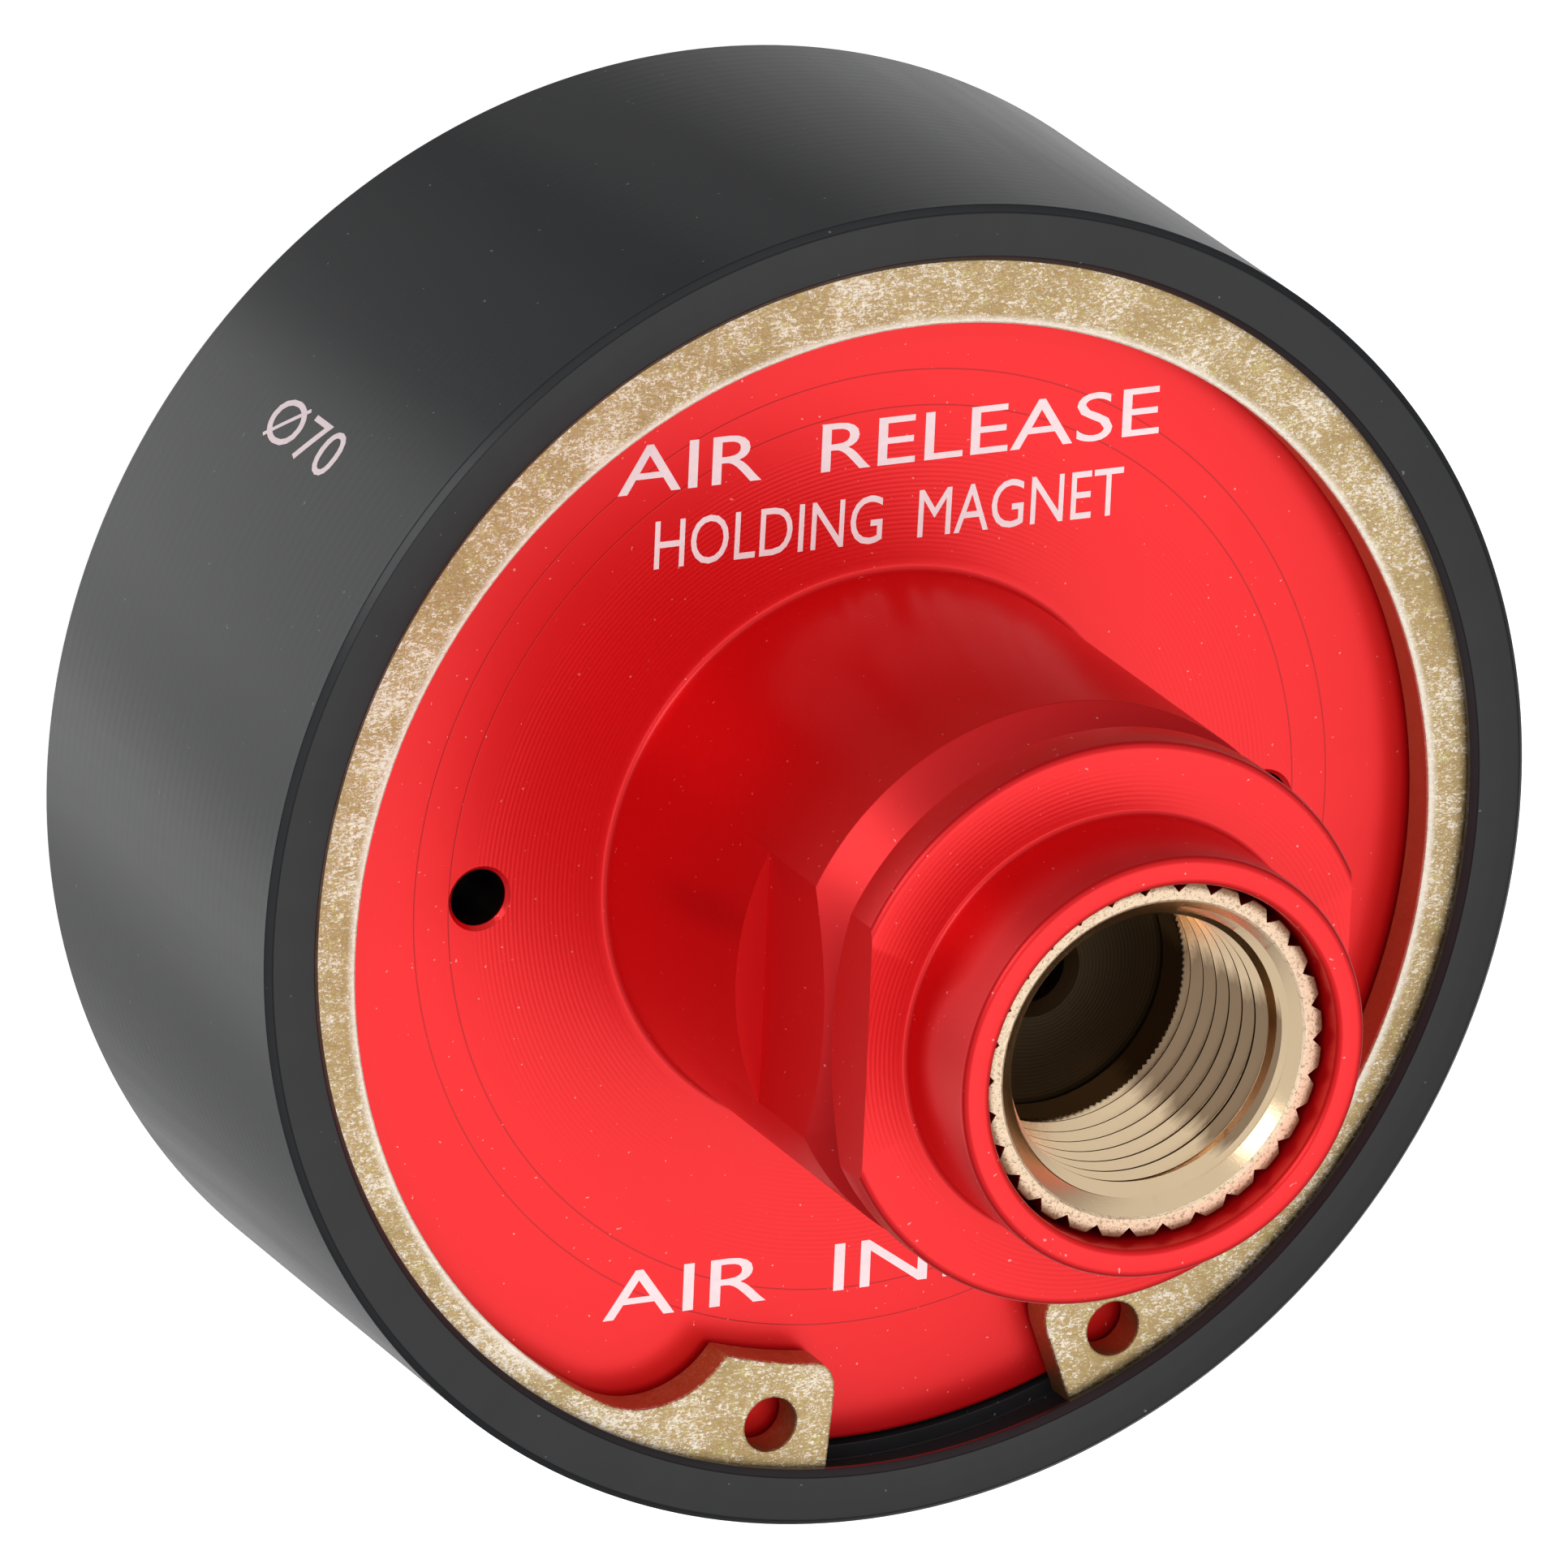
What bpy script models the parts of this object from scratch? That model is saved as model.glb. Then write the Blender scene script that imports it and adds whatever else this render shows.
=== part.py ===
"""Air-operated holding magnet: a cup housing with a magnet piston inside, closed by a hub cap.

The working face lies on z = 0 and the hub points along +Z. Air let in through the hub runs down the
centre tube and lifts the magnet piston off the working face. A spring brings the piston back.
Lengths are written in millimetres and turned into metres by MM where meshes are made.
"""

from math import atan2, cos, pi, radians, sin

import bmesh
import bpy
from mathutils import Matrix, Vector

MM = 0.001
FIT = 0.3               # clearance between neighbouring pieces

# housing
HOUSING_R = 35.0
HOUSING_H = 27.8
BORE_R = 32.05
PISTON_BORE_R = 31.2
FLOOR_T = 2.0
PAD_IN_R = 24.0
PAD_OUT_R = 30.0
PAD_T = 0.8
RING_GROOVE_R = 32.85
RING_GROOVE_TOP = 27.15
FOOT_CHAMFER = 0.8
RIM_CHAMFER = 0.4
BORE_CHAMFER = 0.25

# end cap, hub and spigot
CAP_R = BORE_R - FIT
CAP_FACE_Z = 24.35
CAP_UNDER_Z = 19.15
DISH_R = 21.5
DISH_DEPTH = 0.12
HUB_R = 14.74
FLAT_X = 13.17
FLAT_Z = 39.25
V_BOTTOM_R = 12.7
V_LOW_Z = 44.53
FLANGE_LOW_Z = 48.59
FLANGE_Z = 51.04
SPIGOT_R = 11.0
SPIGOT_Z = 57.48
INSERT_BORE_R = 9.5
SPRING_BORE_R = 9.0
WEB_LOW_Z = 38.2
WEB_TOP_Z = 39.9
VENT_R = 1.5
VENT_AT_R = 21.8
CAP_GROOVE_R = 29.65
CAP_GROOVE_Z = 21.75
CAP_SEAL_R = 30.85
CAP_SEAL_SECTION_R = 0.9
CAP_FOOT_CHAMFER = 0.4
CAP_FACE_CHAMFER = 0.25
FLANGE_CHAMFER = 0.45
LIP_R = 0.7              # rounding of the spigot's rim
FLAT_REACH = 5.0         # how far the flats' cutter reaches outwards
FLAT_HALF_WIDTH = 12.0   # and to each side

# rubber bumper in the cap's underside
BUMPER_IN_R = 25.0
BUMPER_OUT_R = 28.0
BUMPER_T = 1.5
BUMPER_PROUD = 0.3       # how far it stands out of its groove

# retaining ring, measured from the middle of its gap
GAP_ANGLE = radians(-81.9)
RING_OUT_R = RING_GROOVE_R - FIT
RING_IN_R = 29.85
RING_OFFSET = 1.32
RING_Z = CAP_FACE_Z + FIT
RING_T = 2.2
LUG_IN_R = 26.6
LUG_END_R = 29.0
LUG_START = radians(12.3)
LUG_CORNER = radians(14.3)
LUG_END = radians(26.0)
SCALLOP_R = 5.2
SCALLOP_AT = radians(39.15)
LUG_HOLE_R = 1.45
LUG_HOLE_AT_R = 29.9
LUG_HOLE_AT = radians(18.85)
LUG_STEPS = 3
SCALLOP_STEPS = 6
RING_IN_STEPS = 18
RING_OUT_STEPS = 44

# threaded insert
INSERT_LOW_Z = 43.3
INSERT_TIP_R = 9.2
INSERT_ROOT_R = 8.85
INSERT_TEETH = 30
INSERT_TOP_Z = 56.2
INSERT_MOUTH_R = 8.2
INSERT_THREAD_R = 7.3
INSERT_END_R = 6.9

# centre tube
TUBE_R = 3.2
TUBE_BORE_R = 1.8
TUBE_FOOT_Z = 3.0
COLLAR_R = INSERT_BORE_R - FIT
COLLAR_T = 1.7
GASKET_T = 0.8

# piston and what it carries
PISTON_R = PISTON_BORE_R - 0.35
PISTON_FOOT_Z = 2.8
PISTON_TOP_Z = 13.0
PISTON_PLATE_Z = 10.2
SKIRT_IN_R = 27.6
BOSS_R = 6.5
BOSS_FOOT_Z = 4.6
SEAL_Z = 9.5
SEAL_SECTION_R = 0.9
SEAL_R = PISTON_BORE_R - FIT - SEAL_SECTION_R
WEAR_GROOVE_R = 29.4
WEAR_LOW_Z = 4.0
WEAR_HIGH_Z = 7.0
WEAR_SPLIT = 1.2
PISTON_CHAMFER = 0.4
SPRING_POCKET_IN_R = 5.2
SPRING_POCKET_OUT_R = 9.2
TUBE_SEAL_Z = 8.6
TUBE_SEAL_SECTION_R = 0.7
TUBE_SEAL_R = TUBE_R + FIT + TUBE_SEAL_SECTION_R
MAGNET_COUNT = 8
MAGNET_R = 6.6
MAGNET_AT_R = 19.4
MAGNET_Z = 2.4
MAGNET_T = 4.7
PLATE_Z = 7.4
PLATE_T = 2.5
SCREW_COUNT = 4
SCREW_AT_R = 10.6
SCREW_R = 1.35
SCREW_HEAD_R = 2.6
SCREW_HEAD_T = 1.5
SCREW_TOP_Z = 12.0
SOCKET_R = 1.0
SOCKET_DEPTH = 0.9

# spring
SPRING_R = 7.0
SPRING_WIRE_R = 0.65
SPRING_LOW_Z = 12.3
SPRING_TURNS = 7
SPRING_PER_TURN = 14
SPRING_END_GAP = 0.35    # air between the close turns at each end
SEAT_T = 0.8
SEAT_BORE_R = TUBE_R + 0.6

OVERSHOOT = 1.0          # how far a drill runs past the faces that it cuts

BIG_STEPS = 40
MID_STEPS = 24
SMALL_STEPS = 12


def clear_scene():
    for thing in list(bpy.data.objects):
        bpy.data.objects.remove(thing)


def material(name, colour, roughness, metallic):
    made = bpy.data.materials.new(name)
    made.use_nodes = True
    shader = made.node_tree.nodes["Principled BSDF"]
    shader.inputs["Base Color"].default_value = (*colour, 1.0)
    shader.inputs["Roughness"].default_value = roughness
    shader.inputs["Metallic"].default_value = metallic
    return made


def place(name, mesh, finish=None):
    """Links a mesh as an object and shades its round stretches smooth."""
    thing = bpy.data.objects.new(name, mesh)
    bpy.context.scene.collection.objects.link(thing)
    if finish is not None:
        mesh.materials.append(finish)
    mesh.shade_smooth()
    mesh.set_sharp_from_angle(angle=radians(30.0))
    return thing


def mesh_from(bm, name):
    mesh = bpy.data.meshes.new(name)
    bm.to_mesh(mesh)
    bm.free()
    return mesh


def turned_mesh(name, outline, steps, closed=True):
    """Spins an outline of (radius, height) points round Z; an open one starts and ends on the axis."""
    bm = bmesh.new()
    corners = [bm.verts.new((r * MM, 0.0, z * MM)) for r, z in outline]
    count = len(corners)
    last = count if closed else count - 1
    for i in range(last):
        bm.edges.new((corners[i], corners[(i + 1) % count]))
    bmesh.ops.spin(bm, geom=bm.verts[:] + bm.edges[:], cent=(0, 0, 0), axis=(0, 0, 1),
                   dvec=(0, 0, 0), angle=2 * pi, steps=steps, use_merge=True)
    bmesh.ops.remove_doubles(bm, verts=bm.verts, dist=1e-7)
    bmesh.ops.recalc_face_normals(bm, faces=bm.faces)
    return mesh_from(bm, name)


def turned(name, outline, steps, finish, closed=True):
    return place(name, turned_mesh(name, outline, steps, closed), finish)


def cutter(name, mesh):
    """An object that only cuts others, so it is left out of the part."""
    tool = place(name, mesh)
    tool.hide_render = True
    tool.display_type = "WIRE"
    return tool


def cut(target, tool):
    step = target.modifiers.new(tool.name, "BOOLEAN")
    step.operation = "DIFFERENCE"
    step.solver = "EXACT"
    step.object = tool


def at_angle(radius, angle):
    return Vector((radius * cos(angle), radius * sin(angle)))


def arc(centre, radius, start, end, count):
    """Points on an arc in the plane, both ends included."""
    return [centre + at_angle(radius, start + (end - start) * i / count) for i in range(count + 1)]


def o_ring(name, major, minor, height, finish, steps=BIG_STEPS):
    around = 8
    outline = [(major + minor * cos(2 * pi * i / around), height + minor * sin(2 * pi * i / around))
               for i in range(around)]
    return turned(name, outline, steps, finish)


def copies_round(mesh, name, count, radius, start=0.0):
    """One mesh holding copies of another, spread evenly on a circle."""
    bm = bmesh.new()
    for i in range(count):
        single = mesh.copy()
        spot = at_angle(radius, start + 2 * pi * i / count)
        single.transform(Matrix.Translation((spot.x * MM, spot.y * MM, 0.0)))
        bm.from_mesh(single)
        bpy.data.meshes.remove(single)
    return mesh_from(bm, name)


def prism_mesh(name, outline, low, high):
    """A closed outline of plane points, extruded from one height to another."""
    bm = bmesh.new()
    face = bm.faces.new([bm.verts.new((p.x * MM, p.y * MM, low * MM)) for p in outline])
    grown = bmesh.ops.extrude_face_region(bm, geom=[face])
    tops = [g for g in grown["geom"] if isinstance(g, bmesh.types.BMVert)]
    bmesh.ops.translate(bm, verts=tops, vec=(0, 0, (high - low) * MM))
    bmesh.ops.recalc_face_normals(bm, faces=bm.faces)
    return mesh_from(bm, name)


def drill_mesh(name, radius, low, high, steps=SMALL_STEPS):
    """A round bar for cutting a hole from one height to another, a little longer at each end."""
    outline = [(0.0, low - OVERSHOOT), (radius, low - OVERSHOOT), (radius, high + OVERSHOOT),
               (0.0, high + OVERSHOOT)]
    return turned_mesh(name, outline, steps, closed=False)


def box_mesh(name, low, high):
    size = Vector(high) - Vector(low)
    middle = (Vector(low) + Vector(high)) / 2
    bm = bmesh.new()
    bmesh.ops.create_cube(bm, size=1.0, matrix=Matrix.Translation(middle * MM)
                          @ Matrix.Diagonal((size.x * MM, size.y * MM, size.z * MM, 1.0)))
    return mesh_from(bm, name)


def housing(finish):
    """Cup with a thin floor, a pad recess under it, a ledge for the cap and a groove for the ring."""
    outline = [(0.0, 0.0), (PAD_IN_R - FIT, 0.0), (PAD_IN_R - FIT, PAD_T + FIT),
               (PAD_OUT_R + FIT, PAD_T + FIT), (PAD_OUT_R + FIT, 0.0), (HOUSING_R - FOOT_CHAMFER, 0.0),
               (HOUSING_R, FOOT_CHAMFER), (HOUSING_R, HOUSING_H - RIM_CHAMFER),
               (HOUSING_R - RIM_CHAMFER, HOUSING_H), (BORE_R + BORE_CHAMFER, HOUSING_H),
               (BORE_R, HOUSING_H - BORE_CHAMFER), (BORE_R, RING_GROOVE_TOP),
               (RING_GROOVE_R, RING_GROOVE_TOP), (RING_GROOVE_R, CAP_FACE_Z),
               (BORE_R, CAP_FACE_Z), (BORE_R, CAP_UNDER_Z - FIT), (PISTON_BORE_R, CAP_UNDER_Z - FIT),
               (PISTON_BORE_R, FLOOR_T), (0.0, FLOOR_T)]
    return turned("housing", outline, BIG_STEPS, finish, closed=False)


def grip_pad(finish):
    outline = [(PAD_IN_R, 0.0), (PAD_OUT_R, 0.0), (PAD_OUT_R, PAD_T), (PAD_IN_R, PAD_T)]
    return turned("grip_pad", outline, BIG_STEPS, finish)


def dish_curve():
    """The shallow hollow of the cap's face, level at its rim and again at the hub."""
    steps = 6
    points = []
    for i in range(1, steps + 1):
        inward = i / steps
        radius = DISH_R - (DISH_R - HUB_R) * inward
        points.append((radius, CAP_FACE_Z - DISH_DEPTH * (1 - cos(pi * inward)) / 2))
    return points


def spigot_lip():
    """The spigot's rim, rounded outside and inside, as (radius, height) points."""
    middle_z = SPIGOT_Z - LIP_R
    outside = arc(Vector((SPIGOT_R - LIP_R, middle_z)), LIP_R, 0.0, pi / 2, 3)
    inside = arc(Vector((INSERT_BORE_R + LIP_R, middle_z)), LIP_R, pi / 2, pi, 3)
    return [(p.x, p.y) for p in outside + inside]


def end_cap(finish):
    """Cap disc and hub in one piece, with the V groove, the flange and the spigot."""
    half_groove = CAP_SEAL_SECTION_R + FIT
    bumper_top = CAP_UNDER_Z - BUMPER_PROUD + BUMPER_T + FIT
    outline = [(SPRING_BORE_R, CAP_UNDER_Z), (BUMPER_IN_R - FIT, CAP_UNDER_Z),
               (BUMPER_IN_R - FIT, bumper_top), (BUMPER_OUT_R + FIT, bumper_top),
               (BUMPER_OUT_R + FIT, CAP_UNDER_Z), (CAP_R - CAP_FOOT_CHAMFER, CAP_UNDER_Z),
               (CAP_R, CAP_UNDER_Z + CAP_FOOT_CHAMFER), (CAP_R, CAP_GROOVE_Z - half_groove),
               (CAP_GROOVE_R, CAP_GROOVE_Z - half_groove), (CAP_GROOVE_R, CAP_GROOVE_Z + half_groove),
               (CAP_R, CAP_GROOVE_Z + half_groove), (CAP_R, CAP_FACE_Z - CAP_FACE_CHAMFER),
               (CAP_R - CAP_FACE_CHAMFER, CAP_FACE_Z), (DISH_R, CAP_FACE_Z)]
    outline += dish_curve()
    outline += [(HUB_R, V_LOW_Z), (V_BOTTOM_R, (V_LOW_Z + FLANGE_LOW_Z) / 2), (HUB_R, FLANGE_LOW_Z),
                (HUB_R, FLANGE_Z - FLANGE_CHAMFER), (HUB_R - FLANGE_CHAMFER, FLANGE_Z),
                (SPIGOT_R, FLANGE_Z)]
    outline += spigot_lip()
    outline += [(INSERT_BORE_R, WEB_TOP_Z), (TUBE_R + FIT, WEB_TOP_Z), (TUBE_R + FIT, WEB_LOW_Z),
                (SPRING_BORE_R, WEB_LOW_Z)]
    cap = turned("end_cap", outline, BIG_STEPS, finish)
    for side in (-1, 1):
        reach = sorted((side * FLAT_X, side * (FLAT_X + FLAT_REACH)))
        block = box_mesh("flat", (reach[0], -FLAT_HALF_WIDTH, FLAT_Z),
                         (reach[1], FLAT_HALF_WIDTH, FLANGE_Z + OVERSHOOT))
        cut(cap, cutter(f"cut_flat_{'left' if side < 0 else 'right'}", block))
    drill = drill_mesh("vent", VENT_R, CAP_UNDER_Z, CAP_FACE_Z)
    cut(cap, cutter("cut_vents", copies_round(drill, "vents", 2, VENT_AT_R)))
    return cap


def ring_half():
    """Half of the ring's inner side, from the outer corner of a lug to the point opposite the gap."""
    lug = [at_angle(RING_OUT_R, LUG_START), at_angle(LUG_END_R, LUG_START)]
    lug += arc(Vector((0, 0)), LUG_IN_R, LUG_CORNER, LUG_END, LUG_STEPS)
    middle = Vector((RING_OFFSET, 0))
    centre = middle + at_angle(RING_IN_R - SCALLOP_R, SCALLOP_AT)
    first = lug[-1] - centre
    scallop = arc(centre, SCALLOP_R, atan2(first.y, first.x), SCALLOP_AT, SCALLOP_STEPS)[1:]
    inner = arc(middle, RING_IN_R, SCALLOP_AT, pi, RING_IN_STEPS)[1:]
    return lug + scallop + inner


def retaining_ring(finish):
    """Flat internal ring, widest opposite its gap, with a drilled lug at each end."""
    half = ring_half()
    mirrored = [Vector((p.x, -p.y)) for p in reversed(half[:-1])]
    outer = arc(Vector((0, 0)), RING_OUT_R, -LUG_START, LUG_START - 2 * pi, RING_OUT_STEPS)[1:-1]
    outline = half + mirrored + outer
    mesh = prism_mesh("retaining_ring", outline, RING_Z, RING_Z + RING_T)
    mesh.transform(Matrix.Rotation(GAP_ANGLE, 4, "Z"))
    ring = place("retaining_ring", mesh, finish)
    for side in (-1, 1):
        spot = at_angle(LUG_HOLE_AT_R, GAP_ANGLE + side * LUG_HOLE_AT)
        hole = drill_mesh("lug_hole", LUG_HOLE_R, RING_Z, RING_Z + RING_T)
        hole.transform(Matrix.Translation((spot.x * MM, spot.y * MM, 0.0)))
        cut(ring, cutter(f"cut_lug_{'left' if side < 0 else 'right'}", hole))
    return ring


def port_insert(finish):
    """Brass bush with a straight knurl outside; its taper thread is a plain cone."""
    low = INSERT_LOW_Z
    bm = bmesh.new()
    steps = INSERT_TEETH * 2
    rings = []
    for height in (low, INSERT_TOP_Z):
        ring = []
        for i in range(steps):
            radius = INSERT_TIP_R if i % 2 == 0 else INSERT_ROOT_R
            spot = at_angle(radius, 2 * pi * i / steps)
            ring.append(bm.verts.new((spot.x * MM, spot.y * MM, height * MM)))
        rings.append(ring)
    bores = ((INSERT_MOUTH_R, INSERT_TOP_Z), (INSERT_THREAD_R, INSERT_TOP_Z - 0.7), (INSERT_END_R, low))
    for radius, height in bores:
        ring = []
        for i in range(steps):
            spot = at_angle(radius, 2 * pi * i / steps)
            ring.append(bm.verts.new((spot.x * MM, spot.y * MM, height * MM)))
        rings.append(ring)
    for k, ring in enumerate(rings):
        following = rings[(k + 1) % len(rings)]
        for i in range(steps):
            j = (i + 1) % steps
            bm.faces.new((ring[i], ring[j], following[j], following[i]))
    bmesh.ops.recalc_face_normals(bm, faces=bm.faces)
    return place("port_insert", mesh_from(bm, "port_insert"), finish)


def air_tube(finish):
    """Tube that leads the air through the piston; the insert holds its collar on the web."""
    collar_z = WEB_TOP_Z + FIT + GASKET_T + FIT
    outline = [(TUBE_BORE_R, TUBE_FOOT_Z), (TUBE_R, TUBE_FOOT_Z), (TUBE_R, collar_z),
               (COLLAR_R, collar_z), (COLLAR_R, collar_z + COLLAR_T), (TUBE_BORE_R, collar_z + COLLAR_T)]
    return turned("air_tube", outline, MID_STEPS, finish)


def tube_gasket(finish):
    low = WEB_TOP_Z + FIT
    high = low + GASKET_T
    outline = [(TUBE_R + FIT, low), (COLLAR_R, low), (COLLAR_R, high), (TUBE_R + FIT, high)]
    return turned("tube_gasket", outline, MID_STEPS, finish)


def spring_seat(finish):
    high = WEB_LOW_Z - FIT
    outline = [(SEAT_BORE_R, high - SEAT_T), (SPRING_BORE_R - FIT, high - SEAT_T),
               (SPRING_BORE_R - FIT, high), (SEAT_BORE_R, high)]
    return turned("spring_seat", outline, MID_STEPS, finish)


def return_spring(finish):
    """Compression spring round the tube, with a close end turn at each end."""
    low = SPRING_LOW_Z + SPRING_WIRE_R
    high = WEB_LOW_Z - FIT - SEAT_T - FIT - SPRING_WIRE_R
    end_pitch = 2 * SPRING_WIRE_R + SPRING_END_GAP
    pitch = (high - low - 2 * end_pitch) / (SPRING_TURNS - 2)
    points = []
    for i in range(SPRING_TURNS * SPRING_PER_TURN + 1):
        turn = i / SPRING_PER_TURN
        if turn < 1:
            height = low + end_pitch * turn
        elif turn > SPRING_TURNS - 1:
            height = high - end_pitch * (SPRING_TURNS - turn)
        else:
            height = low + end_pitch + pitch * (turn - 1)
        spot = at_angle(SPRING_R, 2 * pi * turn)
        points.append((spot.x * MM, spot.y * MM, height * MM))
    curve = bpy.data.curves.new("return_spring", "CURVE")
    curve.dimensions = "3D"
    curve.bevel_depth = SPRING_WIRE_R * MM
    curve.bevel_resolution = 1
    curve.use_fill_caps = True
    curve.materials.append(finish)
    spline = curve.splines.new("POLY")
    spline.points.add(len(points) - 1)
    for point, spot in zip(spline.points, points):
        point.co = (*spot, 1.0)
    spring = bpy.data.objects.new("return_spring", curve)
    bpy.context.scene.collection.objects.link(spring)
    return spring


def bumper_ring(finish):
    """Rubber ring in the cap's underside that the piston's top meets at the end of its lift."""
    low = CAP_UNDER_Z - BUMPER_PROUD
    outline = [(BUMPER_IN_R, low), (BUMPER_OUT_R, low), (BUMPER_OUT_R, low + BUMPER_T),
               (BUMPER_IN_R, low + BUMPER_T)]
    return turned("bumper_ring", outline, BIG_STEPS, finish)


def screw_holes():
    """One tool that drills and countersinks every carrier screw hole."""
    hole_r = SCREW_R + FIT
    below = MAGNET_Z - OVERSHOOT
    outline = [(0.0, below), (SCREW_HEAD_R + FIT, below), (SCREW_HEAD_R + FIT, MAGNET_Z),
               (hole_r, MAGNET_Z + SCREW_HEAD_T), (hole_r, SCREW_TOP_Z + FIT), (0.0, SCREW_TOP_Z + FIT)]
    hole = turned_mesh("screw_hole", outline, SMALL_STEPS, closed=False)
    return cutter("cut_screw_holes", copies_round(hole, "screw_holes", SCREW_COUNT, SCREW_AT_R,
                                                  start=pi / MAGNET_COUNT))


def piston(finish, holes):
    """Piston with a skirt round the magnets, a boss round the tube and a seat for the spring."""
    seal_half = SEAL_SECTION_R + FIT
    seal_floor = SEAL_R - SEAL_SECTION_R - FIT
    tube_half = TUBE_SEAL_SECTION_R + FIT
    tube_floor = TUBE_SEAL_R + TUBE_SEAL_SECTION_R + FIT
    bore = TUBE_R + FIT
    outline = [(bore, BOSS_FOOT_Z), (BOSS_R, BOSS_FOOT_Z), (BOSS_R, PISTON_PLATE_Z),
               (SKIRT_IN_R, PISTON_PLATE_Z), (SKIRT_IN_R, PISTON_FOOT_Z),
               (PISTON_R - PISTON_CHAMFER, PISTON_FOOT_Z), (PISTON_R, PISTON_FOOT_Z + PISTON_CHAMFER),
               (PISTON_R, WEAR_LOW_Z), (WEAR_GROOVE_R, WEAR_LOW_Z),
               (WEAR_GROOVE_R, WEAR_HIGH_Z), (PISTON_R, WEAR_HIGH_Z), (PISTON_R, SEAL_Z - seal_half),
               (seal_floor, SEAL_Z - seal_half), (seal_floor, SEAL_Z + seal_half),
               (PISTON_R, SEAL_Z + seal_half), (PISTON_R, PISTON_TOP_Z - PISTON_CHAMFER),
               (PISTON_R - PISTON_CHAMFER, PISTON_TOP_Z), (SPRING_POCKET_OUT_R, PISTON_TOP_Z),
               (SPRING_POCKET_OUT_R, SPRING_LOW_Z - FIT), (SPRING_POCKET_IN_R, SPRING_LOW_Z - FIT),
               (SPRING_POCKET_IN_R, PISTON_TOP_Z), (bore, PISTON_TOP_Z),
               (bore, TUBE_SEAL_Z + tube_half), (tube_floor, TUBE_SEAL_Z + tube_half),
               (tube_floor, TUBE_SEAL_Z - tube_half), (bore, TUBE_SEAL_Z - tube_half)]
    body = turned("piston", outline, BIG_STEPS, finish)
    cut(body, holes)
    return body


def wear_ring(finish):
    """Split guide band in the piston's skirt."""
    outline = [(WEAR_GROOVE_R + FIT, WEAR_LOW_Z + FIT), (PISTON_BORE_R - FIT, WEAR_LOW_Z + FIT),
               (PISTON_BORE_R - FIT, WEAR_HIGH_Z - FIT), (WEAR_GROOVE_R + FIT, WEAR_HIGH_Z - FIT)]
    band = turned("wear_ring", outline, BIG_STEPS, finish)
    split = box_mesh("wear_split", (WEAR_GROOVE_R - OVERSHOOT, -WEAR_SPLIT / 2, WEAR_LOW_Z - OVERSHOOT),
                     (PISTON_BORE_R + OVERSHOOT, WEAR_SPLIT / 2, WEAR_HIGH_Z + OVERSHOOT))
    cut(band, cutter("cut_wear_split", split))
    return band


def back_plate(finish, holes):
    """Steel disc that closes the magnets' field behind them."""
    outline = [(BOSS_R + FIT, PLATE_Z), (SKIRT_IN_R - FIT, PLATE_Z), (SKIRT_IN_R - FIT, PLATE_Z + PLATE_T),
               (BOSS_R + FIT, PLATE_Z + PLATE_T)]
    plate = turned("back_plate", outline, BIG_STEPS, finish)
    cut(plate, holes)
    return plate


def magnet_cage(finish, holes):
    """Disc with a through pocket for each magnet."""
    high = MAGNET_Z + MAGNET_T
    outline = [(BOSS_R + FIT, MAGNET_Z), (SKIRT_IN_R - FIT, MAGNET_Z), (SKIRT_IN_R - FIT, high),
               (BOSS_R + FIT, high)]
    cage = turned("magnet_cage", outline, BIG_STEPS, finish)
    pocket = drill_mesh("pocket", MAGNET_R + FIT, MAGNET_Z, high, MID_STEPS)
    cut(cage, cutter("cut_pockets", copies_round(pocket, "pockets", MAGNET_COUNT, MAGNET_AT_R)))
    cut(cage, holes)
    return cage


def magnets(finish):
    """Round magnets, one node each, sharing one mesh."""
    outline = [(0.0, 0.0), (MAGNET_R, 0.0), (MAGNET_R, MAGNET_T), (0.0, MAGNET_T)]
    mesh = turned_mesh("magnet", outline, MID_STEPS, closed=False)
    made = []
    for i in range(MAGNET_COUNT):
        magnet = place(f"magnet_{i + 1}", mesh, finish if i == 0 else None)
        spot = at_angle(MAGNET_AT_R, 2 * pi * i / MAGNET_COUNT)
        magnet.location = (spot.x * MM, spot.y * MM, MAGNET_Z * MM)
        made.append(magnet)
    return made


def carrier_screws(finish):
    """Countersunk socket screws that hold cage and plate to the piston."""
    outline = [(0.0, 0.0), (SCREW_HEAD_R, 0.0), (SCREW_R, SCREW_HEAD_T),
               (SCREW_R, SCREW_TOP_Z - MAGNET_Z), (0.0, SCREW_TOP_Z - MAGNET_Z)]
    socket_outline = [at_angle(SOCKET_R, pi * i / 3) for i in range(6)]
    made = []
    for i in range(SCREW_COUNT):
        spot = at_angle(SCREW_AT_R, pi / MAGNET_COUNT + 2 * pi * i / SCREW_COUNT)
        where = Vector((spot.x * MM, spot.y * MM, MAGNET_Z * MM))
        screw = turned(f"carrier_screw_{i + 1}", outline, SMALL_STEPS, finish, closed=False)
        screw.location = where
        socket = cutter(f"cut_socket_{i + 1}", prism_mesh("socket", socket_outline, -OVERSHOOT, SOCKET_DEPTH))
        socket.location = where
        cut(screw, socket)
        made += [screw, socket]
    return made


def carriage(pieces):
    """Gathers the pieces that rise together under one empty on the slide's axis."""
    holder = bpy.data.objects.new("magnet_carriage", None)
    bpy.context.scene.collection.objects.link(holder)
    for piece in pieces:
        piece.parent = holder


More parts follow.
